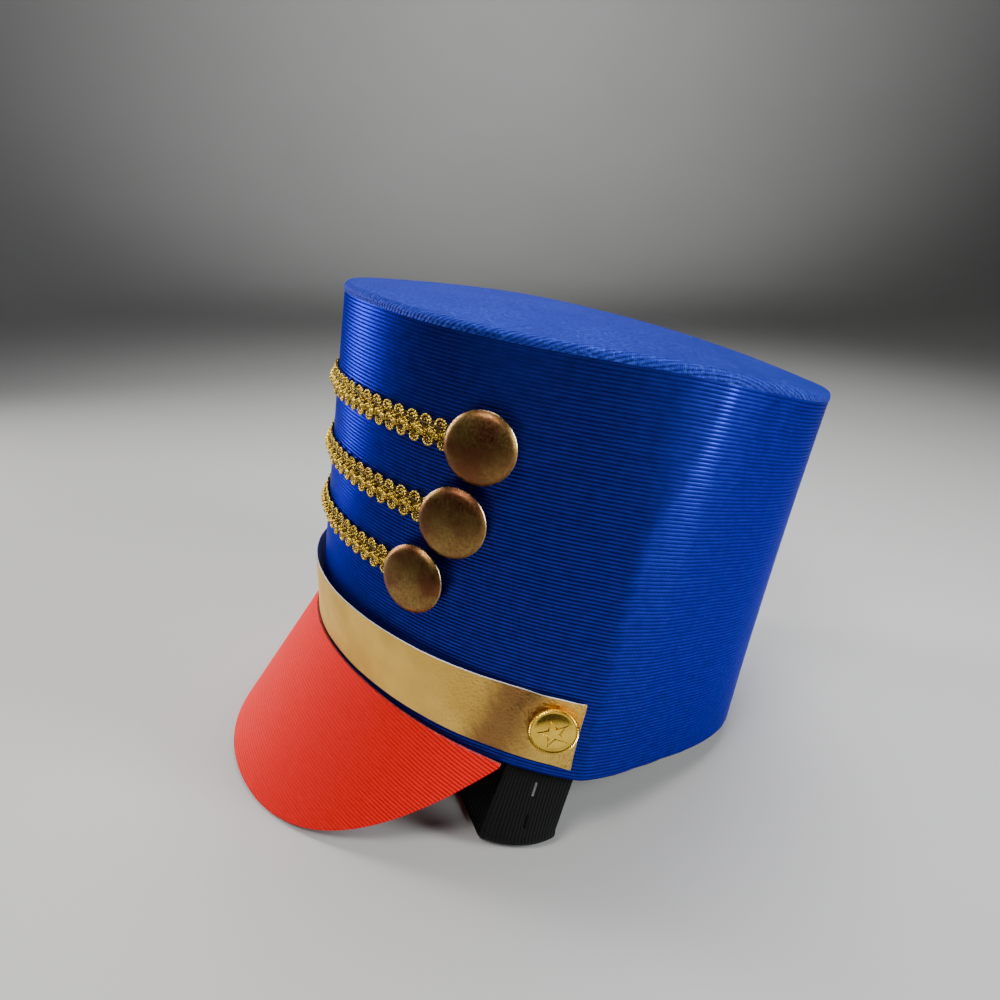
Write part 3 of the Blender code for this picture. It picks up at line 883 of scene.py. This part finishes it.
def build_wall(board):
    """Side wall: one sheet round the hat, its lower edge turned in, over board."""
    colours = bpy.context.scene.hat_colours
    blue = satin("blue_satin", colours.blue, colours.blue_thread_highlight, 0.88, 0.26, 0.70)
    top_height = CROWN_HEIGHT - CAP_SKIRT + UNDER_SKIRT
    angles, run = arc_table(CROWN_HEIGHT / 2, 180.0)

    def rule(u, v):
        angle = -180.0 + 360.0 * u
        height = top_height * v
        hem = np.clip(1.0 - height / HEM_HEIGHT, 0.0, 1.0)
        off = crease_rise(angle, height) + slow_waves(angle, height)
        off -= HEM_TURN * (1.0 - np.sqrt(1.0 - hem ** 2))
        points = stand(wall_out(angle, height, off))
        return points, np.stack([np.interp(angle, angles, run), height], axis=-1)

    wall = grid_piece("crown_satin", 240, 140, rule)
    weld(wall)
    dress(wall, blue, board)
    thicken(wall, WALL_CLOTH, inside=1, edge=0)
    smooth(wall, 60.0)
    hand_over(wall, "blue_satin", "crown_wall")


def build_cap(board):
    """Top panel, from the lower edge of its skirt over a rounded edge to the dome."""
    colours = bpy.context.scene.hat_colours
    blue = satin("blue_satin_top", colours.blue, colours.blue_thread_highlight, 0.50, 0.46,
                 1.3, swap=True, fuzz=0.45)
    skirt_share = 0.10
    bend_share = 0.15
    dome_start = skirt_share + bend_share

    def rule(u, v):
        angle = -180.0 + 360.0 * u
        edge = top_point(angle)
        middle = np.array([0.0, -TOP_SHIFT_FORWARD, 0.0])
        flat = edge - middle
        flat[:, 2] = 0.0
        radius = np.linalg.norm(flat, axis=1)
        arm = flat / radius[:, None]
        skirt = np.clip(v / skirt_share, 0.0, 1.0)
        turn = np.clip((v - skirt_share) / bend_share, 0.0, 1.0) * math.pi / 2
        inner = np.clip((v - dome_start) / (1.0 - dome_start), 0.0, 1.0)
        share = 1.0 - inner
        inset = EDGE_RADIUS * (1.0 - np.cos(turn))
        lift = EDGE_RADIUS * (np.sin(turn) - 1.0)
        reach = (radius - inset) * share
        place = arm * reach[:, None] + middle
        dome = DOME_HEIGHT * (1.0 - share ** 2) + side_rise(angle) * share ** 2
        place[:, 2] = CROWN_HEIGHT + TOP_SLOPE * place[:, 1] + lift + dome
        low = v < skirt_share
        hang = CAP_SKIRT * (1.0 - skirt) + EDGE_RADIUS * skirt
        on_wall = wall_out(angle, CROWN_HEIGHT - hang, 0.0)
        place[low] = on_wall[low]
        rise = crease_rise(angle, np.full_like(angle, CROWN_HEIGHT)) * np.cos(turn)
        place += arm * ((rise + CAP_PROUD) * (inner <= 0.0))[:, None]
        run_out = (EDGE_RADIUS * (math.pi / 2 - turn)) * (inner <= 0.0)
        run_out += np.where(low, hang - EDGE_RADIUS, 0.0)
        chart = arm[:, :2] * ((radius - EDGE_RADIUS) * share + run_out)[:, None]
        return stand(place), chart

    cap = grid_piece("crown_panel", 240, 76, rule)
    weld(cap, 2e-6)
    dress(cap, blue, board)
    thicken(cap, CAP_CLOTH, inside=1, edge=0)
    smooth(cap, 60.0)
    hand_over(cap, "blue_satin_top", "crown_top")


def build_crown():
    """Crown: the side wall and the top panel, both over the same board."""
    board = board_material()
    build_wall(board)
    build_cap(board)


def visor_start(angle):
    """Where each line down the visor begins, its direction and its full length."""
    steep = math.radians(VISOR_STEEPNESS)
    along = np.array([0.0, -math.cos(steep), -math.sin(steep)])
    share = np.abs(angle) / VISOR_HALF_ANGLE
    tuck = VISOR_TUCK * np.maximum(0.0, 1.0 - share ** 2.2)
    rim = np.zeros_like(angle)
    side = wall_point(angle + 1.0, rim) - wall_point(angle - 1.0, rim)
    face = unit(np.cross(side, -along))
    start = wall_out(angle, tuck, GAP) + face * VISOR_THICKNESS
    reach = VISOR_LENGTH * (1.0 - share ** VISOR_EDGE_POWER) + tuck + VISOR_END
    a = math.radians(LEAN)
    floor_normal = np.array([0.0, -math.sin(a), math.cos(a)])
    level = float(rim_point(np.array([180.0]))[0] @ floor_normal)
    to_floor = (level - start @ floor_normal) / float(along @ floor_normal)
    return start, along, np.minimum(reach, to_floor)


def build_visor():
    """Peak: one sheet from under the band down to its curved edge."""
    colours = bpy.context.scene.hat_colours
    red = satin("red_satin", colours.red, colours.red_thread_highlight, 0.06, 0.60, 1.5)
    angles, run = arc_table(0.0, 90.0)

    def rule(u, v):
        angle = VISOR_HALF_ANGLE * (-1.0 + 2.0 * u)
        start, along, reach = visor_start(angle)
        down = reach * (1.0 - v)
        points = start + along * down[:, None]
        chart = np.stack([np.interp(angle, angles, run), -(points @ along)], axis=-1)
        return stand(points), chart

    visor = grid_piece("visor_satin", 220, 90, rule)
    dress(visor, red, visor_edge_material())
    thicken(visor, VISOR_CLOTH, edge=1)
    round_edges(visor, 0.5 * MM)
    smooth(visor, 50.0)
    hand_over(visor, "red_satin", "visor")


def band_low(angle):
    """Height of the band's lower edge, which climbs a little towards the front."""
    return BAND_LOW + BAND_RISE * np.cos(np.radians(angle))


def band_off(angle, height):
    """Distance of the band's back from the wall."""
    up = (height - band_low(angle)) / BAND_WIDTH
    fade = np.maximum(0.0, np.cos(np.radians(angle * 1.25)))
    off = GAP + BAND_STAND_OFF * fade * up
    around = np.radians(np.abs(angle) - STAR_BUTTON_ANGLE) * RIM_HALF_WIDTH
    rise = height - STAR_BUTTON_SHARE * CROWN_HEIGHT
    away = np.hypot(around, rise)
    puff = PUFF_HEIGHT * np.exp(-((away - PUFF_RADIUS) / PUFF_SPREAD) ** 2)
    return off + puff * np.clip((rise + 6 * MM) / (9 * MM), 0.0, 1.0)


def build_band():
    """Foil strip, off the wall towards its upper edge, its low corners curled."""
    foil = foil_material()
    backing = backing_material()
    angles, run = arc_table(BAND_LOW + BAND_WIDTH / 2, 90.0)

    def rule(u, v):
        angle = BAND_HALF_ANGLE * (-1.0 + 2.0 * u)
        height = band_low(angle) + BAND_WIDTH * v
        far = np.interp(angle, angles, run)
        ripple = np.sin(far / (5.2 * MM)) * np.sin(far / (17.0 * MM) + 4.0 * v)
        end = np.clip((np.abs(angle) - STAR_BUTTON_ANGLE) / 7.0, 0.0, 1.0)
        curl = CORNER_CURL * end ** 2 * np.clip(1.0 - v / 0.22, 0.0, 1.0)
        off = band_off(angle, height) + FOIL_THICKNESS + RIPPLE * ripple + curl
        points = stand(wall_out(angle, height, off))
        return points, np.stack([far, BAND_WIDTH * v], axis=-1)

    band = grid_piece("foil_band", 260, 30, rule)
    dress(band, foil, backing)
    thicken(band, FOIL_THICKNESS, inside=1, edge=1)
    smooth(band, 50.0)
    hand_over(band, "gold_foil", "front_band")


def tube(path, radius, sides):
    """Points, faces and chart of a closed cord along a path."""
    path = np.asarray(path)
    tangent = unit(np.gradient(path, axis=0))
    # A little off the z axis, so that no cord runs along it
    side = unit(np.cross(tangent, np.array([0.0, 0.0, 1.0]) + 1e-3))
    up = np.cross(side, tangent)
    run = np.concatenate([[0.0], np.cumsum(np.linalg.norm(np.diff(path, axis=0), axis=1))])
    count = len(path)
    size = np.full(count, radius)
    size[0] = size[-1] = radius * 0.55
    turn = np.linspace(0.0, 2 * math.pi, sides, endpoint=False)
    ring = (side[:, None, :] * np.cos(turn)[None, :, None]
            + up[:, None, :] * np.sin(turn)[None, :, None])
    points = (path[:, None, :] + ring * size[:, None, None]).reshape(-1, 3)
    faces = []
    chart = []
    for k in range(count - 1):
        for i in range(sides):
            j = (i + 1) % sides
            faces.append((k * sides + i, k * sides + j, (k + 1) * sides + j,
                          (k + 1) * sides + i))
            low, high = i / sides, (i + 1) / sides
            chart += [(run[k], low), (run[k], high), (run[k + 1], high), (run[k + 1], low)]
    for first, order in ((0, -1), (count - 1, 1)):
        cap = [first * sides + i for i in range(sides)][::order]
        faces.append(tuple(cap))
        chart += [(run[first], 0.5)] * sides
    return points, faces, chart


def loop_paths(flip, seed):
    """The cords of one loop: an arm that rolls up into a rosette, and two beside it."""
    wobble = np.random.default_rng(seed).uniform(-1.0, 1.0, 4)
    radius = (2.45 if flip > 0 else 2.15) + 0.10 * wobble[0]
    middle = np.array([0.10 * wobble[1], 2.95 if flip > 0 else 3.05])

    def arm(start, bend, end, height, steps):
        share = np.linspace(0.0, 1.0, steps)[:, None]
        flat = start * (1 - share) ** 2 + bend * 2 * share * (1 - share) + end * share ** 2
        over = 0.80 + height * np.sin(math.pi * share[:, 0])
        return flat, over

    end = middle + np.array([0.0, -radius])
    flat, over = arm(np.array([-6.3, 0.30]), np.array([-2.6, end[1] - 0.30]), end, 0.8, 8)
    share = np.linspace(0.0, 1.0, 25)[1:]
    angle = -math.pi / 2 + 2 * math.pi * 1.85 * share
    size = 0.30 + (radius - 0.30) * (1.0 - share)
    coil = middle + np.stack([np.cos(angle), np.sin(angle)], axis=1) * size[:, None]
    flat = np.concatenate([flat, coil])
    over = np.concatenate([over, 0.90 - 0.30 * share + 0.12 * wobble[2]])
    cords = [(flat, over)]
    cords.append(arm(np.array([-5.6, -0.20]), np.array([-2.3, 0.45]),
                     middle + np.array([-1.9, -1.0]), 1.35, 8))
    cords.append(arm(np.array([-4.4, -0.35]), np.array([-1.1, 0.15]),
                     middle + np.array([-0.5, -1.7]), 1.55, 8))
    mirror = np.array([1.0, flip])
    return [np.column_stack([line * mirror, height]) * MM for line, height in cords]


def build_braid(name, share, half_angle, gold, core):
    """One braid, cord by cord: two rows of rolled loops over dark core threads, whose dark
    colour also paints the shade between the loops.
    """
    sizes = bpy.context.scene.hat_sizes
    height = share * CROWN_HEIGHT
    angles, run = arc_table(height, 60.0)
    half = np.interp(half_angle, angles, run)
    points, faces, chart, finish = [], [], [], []
    total = 0

    def lay(path, radius, sides, which):
        nonlocal total
        spots, quads, spread = tube(path, radius, sides)
        points.append(spots)
        faces.extend(tuple(i + total for i in quad) for quad in quads)
        chart.extend(spread)
        finish.extend([which] * len(quads))
        total += len(spots)

    count = int(half * 2 / sizes.braid_repeat)
    for k in range(count + 1):
        middle = -half + 2.0 * MM + k * sizes.braid_repeat
        for flip, shift in ((1, 0.0), (-1, 2.0 * MM)):
            paths = loop_paths(flip, 100 * k + (flip > 0))
            for path, thick in zip(paths, (1.0, 1.5, 1.5)):
                path[:, 0] += middle + shift
                path[:, 0] = np.clip(path[:, 0], -half, half)
                lay(path, sizes.cord_radius * thick, 6, 0)
    line = np.linspace(-half, half, 90)
    for level, radius, off in ((3.2, 0.5, 0.45), (2.0, 0.65, 0.60), (0.7, 0.7, 0.70),
                               (-0.7, 0.7, 0.70), (-2.0, 0.65, 0.60), (-3.2, 0.5, 0.45)):
        path = np.column_stack([line, np.full_like(line, level * MM),
                                np.full_like(line, off * MM)])
        lay(path, radius * MM, 6, 1)
    flat = np.concatenate(points)
    angle = np.interp(flat[:, 0], run, angles)
    place = stand(wall_out(angle, height + flat[:, 1], GAP + np.maximum(flat[:, 2], 0.0)))
    mesh = bpy.data.meshes.new("braid_" + name)
    mesh.from_pydata([tuple(p) for p in place], [], faces)
    layer = mesh.uv_layers.new(name="UVMap")
    layer.data.foreach_set("uv", np.array(chart, dtype=np.float32).ravel())
    for made in (gold, core):
        mesh.materials.append(made)
    mesh.polygons.foreach_set("material_index", np.array(finish, dtype=np.int32))
    mesh.update()
    piece = bpy.data.objects.new("gimp_braid_" + name, mesh)
    bpy.context.scene.collection.objects.link(piece)
    weld(piece, 1e-7)
    bpy.ops.object.mode_set(mode="EDIT")
    bpy.ops.mesh.select_all(action="SELECT")
    bpy.ops.mesh.normals_make_consistent(inside=False)
    bpy.ops.object.mode_set(mode="OBJECT")
    smooth(piece, 70.0)
    hand_over(piece, "gold_braid", "braid_" + name)


def build_braids():
    gold = cord_material()
    core = core_material()
    for name, share, half_angle in BRAIDS:
        build_braid(name, share, half_angle, gold, core)


def radial_chart(piece, radius):
    """Chart whose u is the distance from the axis, as a share of the radius."""
    mesh = piece.data
    layer = mesh.uv_layers.active or mesh.uv_layers.new(name="UVMap")
    for loop in mesh.loops:
        co = mesh.vertices[loop.vertex_index].co
        turn = math.atan2(co.y, co.x) / (2 * math.pi)
        layer.data[loop.index].uv = (co.xy.length / radius, turn)


def build_buttons():
    """Large domed buttons, each on the end of a braid."""
    brass = patina_material()
    radius = BUTTON_DIAMETER / 2
    seat = GAP + BRAID_THICKNESS + GAP
    profile = [
        (0.0, 0.4 * MM), (radius * 0.80, 0.35 * MM), (radius * 0.93, 0.0),
        (radius * 0.985, 0.15 * MM), (radius, 0.55 * MM), (radius * 0.995, 0.95 * MM),
        (radius * 0.970, 1.20 * MM), (radius * 0.945, 1.55 * MM), (radius * 0.90, 2.02 * MM),
        (radius * 0.83, 2.42 * MM), (radius * 0.72, 2.78 * MM), (radius * 0.56, 3.14 * MM),
        (radius * 0.38, 3.42 * MM), (radius * 0.18, 3.58 * MM), (0.0, 3.62 * MM)]
    model = turned("button_model", profile, 72)
    radial_chart(model, radius)
    dress(model, brass)
    smooth(model, 60.0)
    for name, share, angle in BRAIDS:
        for side, sign in (("left", 1.0), ("right", -1.0)):
            node = "button_%s_%s" % (name, side)
            button = copied(model)
            button.name = "brass_" + node
            set_in_place(button, stand_frame(angle * sign, share * CROWN_HEIGHT, seat))
            hand_over(button, "aged_brass", node)
    bpy.data.objects.remove(model, do_unlink=True)


def star_shape(name, tip, notch, rise, line):
    """A raised five-pointed star, sunk again inside an outline of one width."""
    deselect()
    bpy.ops.mesh.primitive_circle_add(vertices=10, radius=1.0, fill_type="NGON")
    piece = named(name)
    for index, vertex in enumerate(piece.data.vertices):
        reach = tip if index % 2 == 0 else notch
        a = 2 * math.pi * index / 10 + math.pi / 2
        vertex.co = (math.cos(a) * reach, math.sin(a) * reach, 0.0)
    bpy.ops.object.mode_set(mode="EDIT")
    bpy.ops.mesh.select_all(action="SELECT")
    bpy.ops.mesh.extrude_region_move(TRANSFORM_OT_translate={"value": (0, 0, rise)})
    bpy.ops.mesh.inset(thickness=line, depth=0.0)
    bpy.ops.mesh.inset(thickness=line * 0.5, depth=-rise * 0.8)
    bpy.ops.mesh.poke()
    bpy.ops.object.mode_set(mode="OBJECT")
    return piece


def build_star_buttons():
    """Small buttons with a milled edge and an outlined star, over a larger dark star plate
    that is painted shadow.
    """
    brass = star_brass_material()
    dark = star_shadow_material()
    sizes = bpy.context.scene.hat_sizes
    radius = STAR_BUTTON_DIAMETER / 2
    steps = sizes.mill_count * 4
    profile = [
        (0.0, 0.1 * MM), (radius * 0.90, 0.0), (radius * 0.97, 0.25 * MM),
        (radius, 0.7 * MM), (radius, 1.15 * MM), (radius * 0.975, 1.5 * MM),
        (radius * 0.93, 1.72 * MM), (radius * 0.885, 1.62 * MM), (radius * 0.85, 1.38 * MM),
        (radius * 0.82, 1.36 * MM), (radius * 0.76, 1.72 * MM), (radius * 0.60, 2.12 * MM),
        (radius * 0.40, 2.38 * MM), (radius * 0.20, 2.52 * MM), (0.0, 2.55 * MM)]
    model = turned("star_button_model", profile, steps)
    for vertex in model.data.vertices:
        far = vertex.co.xy.length / radius
        if far > 0.86 and vertex.co.z > 0.2 * MM:
            notch = math.cos(sizes.mill_count * math.atan2(vertex.co.y, vertex.co.x))
            vertex.co.xy *= 1.0 + 0.018 * notch * min(1.0, (far - 0.86) / 0.07)
            vertex.co.z += 0.16 * MM * notch * (far < 0.985)
    dress(model, brass)
    smooth(model, 60.0)
    for side, sign in (("left", 1.0), ("right", -1.0)):
        node = "star_button_" + side
        disc = copied(model)
        reaches, levels = zip(*profile[:-11:-1])
        stars = []
        # The second star, larger and just above the dome, is a dark plate of painted shadow
        # round the raised star.
        for label, tip, notch, rise, line, finish in (
                ("star_", 5.3 * MM, 2.15 * MM, 0.40 * MM, 0.26 * MM, brass),
                ("star_shadow_", 5.95 * MM, 2.45 * MM, 0.07 * MM, 0.20 * MM, dark)):
            star = star_shape(label + side, tip, notch, rise, line)
            dress(star, finish)
            for vertex in star.data.vertices:
                dome = float(np.interp(vertex.co.xy.length, reaches, levels))
                vertex.co.z += dome
            set_in_place(star, Matrix.Rotation(math.radians(STAR_TURN * sign), 4, "Z"))
            stars.append(star)
        round_edges(stars[0], 0.08 * MM, 2, 20.0)
        smooth(stars[0], 25.0)
        piece = joined("brass_" + node, [disc, *stars])
        angle = STAR_BUTTON_ANGLE * sign
        fade = max(0.0, math.cos(math.radians(angle * 1.25)))
        off = GAP + BAND_THICKNESS + GAP + BAND_STAND_OFF * fade
        set_in_place(piece, stand_frame(angle, STAR_BUTTON_SHARE * CROWN_HEIGHT, off))
        hand_over(piece, "bright_brass", node)
    bpy.data.objects.remove(model, do_unlink=True)


def strap_path(offset, places):
    """Points of one row of the strap at distances from its left end."""
    level = float(stand(rim_point(np.array([180.0])))[0, 2]) + STRAP_THICKNESS / 2
    inner = WALL_THICKNESS + GAP + STRAP_THICKNESS * 0.65
    angle = STRAP_ANGLE + math.degrees(offset / RIM_HALF_WIDTH)
    heights = np.array([STRAP_INSIDE, 0.0])
    top, rim = stand(wall_out(np.full(2, angle), heights, -inner))
    middle_y = float(stand(wall_point(np.array([STRAP_ANGLE]), 0.0))[0, 1]) + offset
    middle_y -= STRAP_FORWARD
    edge = (2.0 * offset / STRAP_WIDTH) ** 2
    radius = STRAP_BEND_RADIUS + STRAP_EDGE_ROUND * edge
    bulge = STRAP_BULGE * (1.0 - edge)
    drop = rim[2] - level - radius
    line = [top + (rim - top) * t for t in np.linspace(0.0, 1.0, 13)]
    for part in np.linspace(0.0, 1.0, 25)[1:]:
        line.append(np.array([rim[0] + bulge * part ** 2,
                              rim[1] + (middle_y - rim[1]) * part, rim[2] - drop * part]))
    centre = np.array([rim[0] + bulge - radius, middle_y, level + radius])
    for turn in np.radians(np.linspace(0.0, 90.0, 13))[1:]:
        line.append(centre + radius * np.array([math.cos(turn), 0.0, -math.sin(turn)]))
    half = list(line)
    end = line[-1]
    for x in np.linspace(end[0], -end[0], 150)[1:-1]:
        line.append(np.array([x, end[1], end[2]]))
    line += [p * np.array([-1.0, 1.0, 1.0]) for p in reversed(half)]
    line = np.array(line)
    run = np.concatenate([[0.0], np.cumsum(np.linalg.norm(np.diff(line, axis=0), axis=1))])
    where = places * run[-1]
    return np.column_stack([np.interp(where, run, line[:, k]) for k in range(3)]), run[-1]


def build_strap():
    """Elastic loop, with its buttonhole slits cut out."""
    black = elastic_material()
    half = STRAP_WIDTH / 2
    across = np.concatenate([np.linspace(-half, -SLIT_WIDTH / 2, 10),
                             np.linspace(SLIT_WIDTH / 2, half, 10)])
    columns = len(across) - 1
    lengths = 420

    def rule(u, v):
        index = np.rint(v * columns).astype(int)
        points = np.empty((len(u), 3))
        chart = np.empty((len(u), 2))
        for k, offset in enumerate(across):
            row = index == k
            points[row], total = strap_path(offset, u[row])
            chart[row, 0] = u[row] * total
            chart[row, 1] = offset
        return points, chart

    strap = grid_piece("elastic_chin_strap", lengths, columns, rule)
    take(strap)
    _, total = strap_path(0.0, np.array([0.0]))
    lead = (FLOOR_RUN - SLITS_ON_FLOOR * SLIT_PITCH + SLIT_PITCH - SLIT_LENGTH) / 2
    starts = [total / 2 - FLOOR_RUN / 2 + lead + k * SLIT_PITCH for k in range(SLITS_ON_FLOOR)]
    for down in SLITS_ON_DROP:
        starts += [STRAP_INSIDE + down, total - STRAP_INSIDE - down - SLIT_LENGTH]
    layer = strap.data.uv_layers.active.data
    cut = []
    for face in strap.data.polygons:
        spots = [layer[k].uv for k in face.loop_indices]
        middle = sum(spot.x for spot in spots) / len(spots)
        side = sum(spot.y for spot in spots) / len(spots)
        if abs(side) < SLIT_WIDTH / 2 and any(s < middle < s + SLIT_LENGTH for s in starts):
            cut.append(face.index)
    bpy.ops.object.mode_set(mode="EDIT")
    shell = bmesh.from_edit_mesh(strap.data)
    shell.faces.ensure_lookup_table()
    for face in shell.faces:
        face.select_set(False)
    for index in cut:
        shell.faces[index].select_set(True)
    bmesh.update_edit_mesh(strap.data)
    bpy.ops.mesh.delete(type="FACE")
    bpy.ops.object.mode_set(mode="OBJECT")
    dress(strap, black)
    thicken(strap, STRAP_THICKNESS * 0.94, offset=0.0)
    round_edges(strap, 0.3 * MM, 2, 50.0)
    smooth(strap, 50.0)
    hand_over(strap, "black_elastic", "chin_strap")


# Floor, lamps and camera
def towards(angle, elevation):
    """Direction from the hat at an angle round it and an elevation."""
    a, e = math.radians(angle), math.radians(elevation)
    return Vector((math.sin(a) * math.cos(e), -math.cos(a) * math.cos(e), math.sin(e)))


def area_light(name, angle, elevation, distance, size, power, colour):
    """A soft lamp at a distance from the hat's middle, turned towards it."""
    arm = towards(angle, elevation)
    deselect()
    bpy.ops.object.light_add(type="AREA", location=LAMP_AIM + arm * distance)
    lamp = bpy.context.object
    lamp.name = name
    lamp.data.shape = "RECTANGLE"
    lamp.data.size, lamp.data.size_y = size
    lamp.data.energy = power
    lamp.data.color = colour
    lamp.data.spread = math.radians(LAMP_SPREAD)
    lamp.rotation_mode = "QUATERNION"
    lamp.rotation_quaternion = (-arm).to_track_quat("-Z", "Y")
    return lamp


def build_floor():
    """Round floor that curves up all round into a backdrop."""
    deselect()
    bpy.ops.mesh.primitive_circle_add(vertices=96, radius=FLOOR_RADIUS, fill_type="TRIFAN")
    floor = named("studio_floor")
    bpy.ops.object.mode_set(mode="EDIT")
    shell = bmesh.from_edit_mesh(floor.data)
    for edge in shell.edges:
        edge.select_set(edge.is_boundary)
    shell.select_flush_mode()
    bmesh.update_edit_mesh(floor.data)
    last = FLOOR_RADIUS
    level = 0.0
    for step in range(1, BACKDROP_STEPS + 1):
        turn = math.radians(90.0 * step / BACKDROP_STEPS)
        reach = FLOOR_RADIUS + FLOOR_CURVE * math.sin(turn)
        rise = FLOOR_CURVE * (1.0 - math.cos(turn))
        bpy.ops.mesh.extrude_region_move(
            TRANSFORM_OT_translate={"value": (0, 0, rise - level)})
        bpy.ops.transform.resize(value=(reach / last, reach / last, 1.0),
                                 center_override=(0.0, 0.0, rise))
        last, level = reach, rise
    bpy.ops.mesh.extrude_region_move(TRANSFORM_OT_translate={"value": (0, 0, BACKDROP_RISE)})
    bpy.ops.object.mode_set(mode="OBJECT")
    smooth(floor, 60.0)
    dress(floor, floor_material())


def build_lights():
    """Dim sky, four lamps round the hat and one for the backdrop."""
    world = bpy.context.scene.world or bpy.data.worlds.new("Studio")
    bpy.context.scene.world = world
    world.use_nodes = True
    background = world.node_tree.nodes["Background"]
    background.inputs["Color"].default_value = SKY_COLOUR
    background.inputs["Strength"].default_value = SKY_STRENGTH
    for lamp in LAMPS:
        area_light(*lamp)
    backdrop = area_light(*BACKDROP_LAMP)
    far_side = towards(BACKDROP_LAMP[1], 0.0) + Vector((0.0, 0.0, BACKDROP_DOWN))
    backdrop.rotation_quaternion = far_side.to_track_quat("-Z", "Y")


def build_camera():
    """Camera where the photo was taken from."""
    camera = bpy.data.cameras.new("photo_camera")
    camera.lens = CAMERA_LENS
    camera.sensor_width = CAMERA_SENSOR
    camera.clip_start = 0.01
    view = bpy.data.objects.new("photo_camera", camera)
    bpy.context.scene.collection.objects.link(view)
    right = CAMERA_FORWARD.cross(Vector((0, 0, 1))).normalized()
    up = right.cross(CAMERA_FORWARD).normalized()
    roll = math.radians(CAMERA_ROLL)
    level_right = right * math.cos(roll) + up * math.sin(roll)
    level_up = up * math.cos(roll) - right * math.sin(roll)
    turn = Matrix((level_right, level_up, -CAMERA_FORWARD)).transposed()
    view.matrix_world = Matrix.Translation(CAMERA_PLACE) @ turn.to_4x4()
    bpy.context.scene.camera = view


def build_stage():
    build_floor()
    build_lights()
    build_camera()


class HAT_OT_crown(bpy.types.Operator):
    """Build the satin wall and top panel of the crown"""
    bl_idname = "hat.crown"
    bl_label = "Crown"

    def execute(self, context):
        build_crown()
        return {"FINISHED"}


class HAT_OT_visor(bpy.types.Operator):
    """Build the red satin visor"""
    bl_idname = "hat.visor"
    bl_label = "Visor"

    def execute(self, context):
        build_visor()
        return {"FINISHED"}


class HAT_OT_band(bpy.types.Operator):
    """Build the gold foil band"""
    bl_idname = "hat.band"
    bl_label = "Band"

    def execute(self, context):
        build_band()
        return {"FINISHED"}


class HAT_OT_braids(bpy.types.Operator):
    """Build the three gimp braids"""
    bl_idname = "hat.braids"
    bl_label = "Braids"

    def execute(self, context):
        build_braids()
        return {"FINISHED"}


class HAT_OT_buttons(bpy.types.Operator):
    """Build the six domed buttons"""
    bl_idname = "hat.buttons"
    bl_label = "Buttons"

    def execute(self, context):
        build_buttons()
        return {"FINISHED"}


class HAT_OT_star_buttons(bpy.types.Operator):
    """Build the two star buttons"""
    bl_idname = "hat.star_buttons"
    bl_label = "Star Buttons"

    def execute(self, context):
        build_star_buttons()
        return {"FINISHED"}


class HAT_OT_chin_strap(bpy.types.Operator):
    """Build the elastic chin strap"""
    bl_idname = "hat.chin_strap"
    bl_label = "Chin Strap"

    def execute(self, context):
        build_strap()
        return {"FINISHED"}


class HAT_OT_stage(bpy.types.Operator):
    """Build the floor, lights and camera"""
    bl_idname = "hat.stage"
    bl_label = "Stage"

    def execute(self, context):
        build_stage()
        return {"FINISHED"}


class HAT_PT_panel(bpy.types.Panel):
    bl_label = "Drum Major Hat"
    bl_idname = "HAT_PT_panel"
    bl_space_type = "VIEW_3D"
    bl_region_type = "UI"
    bl_category = "Hat"

    def draw(self, context):
        layout = self.layout
        for operator in OPERATORS:
            layout.operator(operator.bl_idname)
        for settings in (context.scene.hat_sizes, context.scene.hat_colours):
            box = layout.box()
            for key in settings.__annotations__:
                box.prop(settings, key)


OPERATORS = (HAT_OT_crown, HAT_OT_visor, HAT_OT_band, HAT_OT_braids, HAT_OT_buttons,
             HAT_OT_star_buttons, HAT_OT_chin_strap, HAT_OT_stage)
CLASSES = (HatSizes, HatColours, *OPERATORS, HAT_PT_panel)


def register():
    for item in CLASSES:
        bpy.utils.register_class(item)
    bpy.types.Scene.hat_sizes = PointerProperty(type=HatSizes)
    bpy.types.Scene.hat_colours = PointerProperty(type=HatColours)


def unregister():
    del bpy.types.Scene.hat_sizes
    del bpy.types.Scene.hat_colours
    for item in reversed(CLASSES):
        bpy.utils.unregister_class(item)


def main():
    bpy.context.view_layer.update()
    register()
    bpy.ops.hat.stage()
    bpy.ops.hat.crown()
    bpy.ops.hat.visor()
    bpy.ops.hat.band()
    bpy.ops.hat.braids()
    bpy.ops.hat.buttons()
    bpy.ops.hat.star_buttons()
    bpy.ops.hat.chin_strap()
    deselect()


if __name__ == "__main__":
    main()
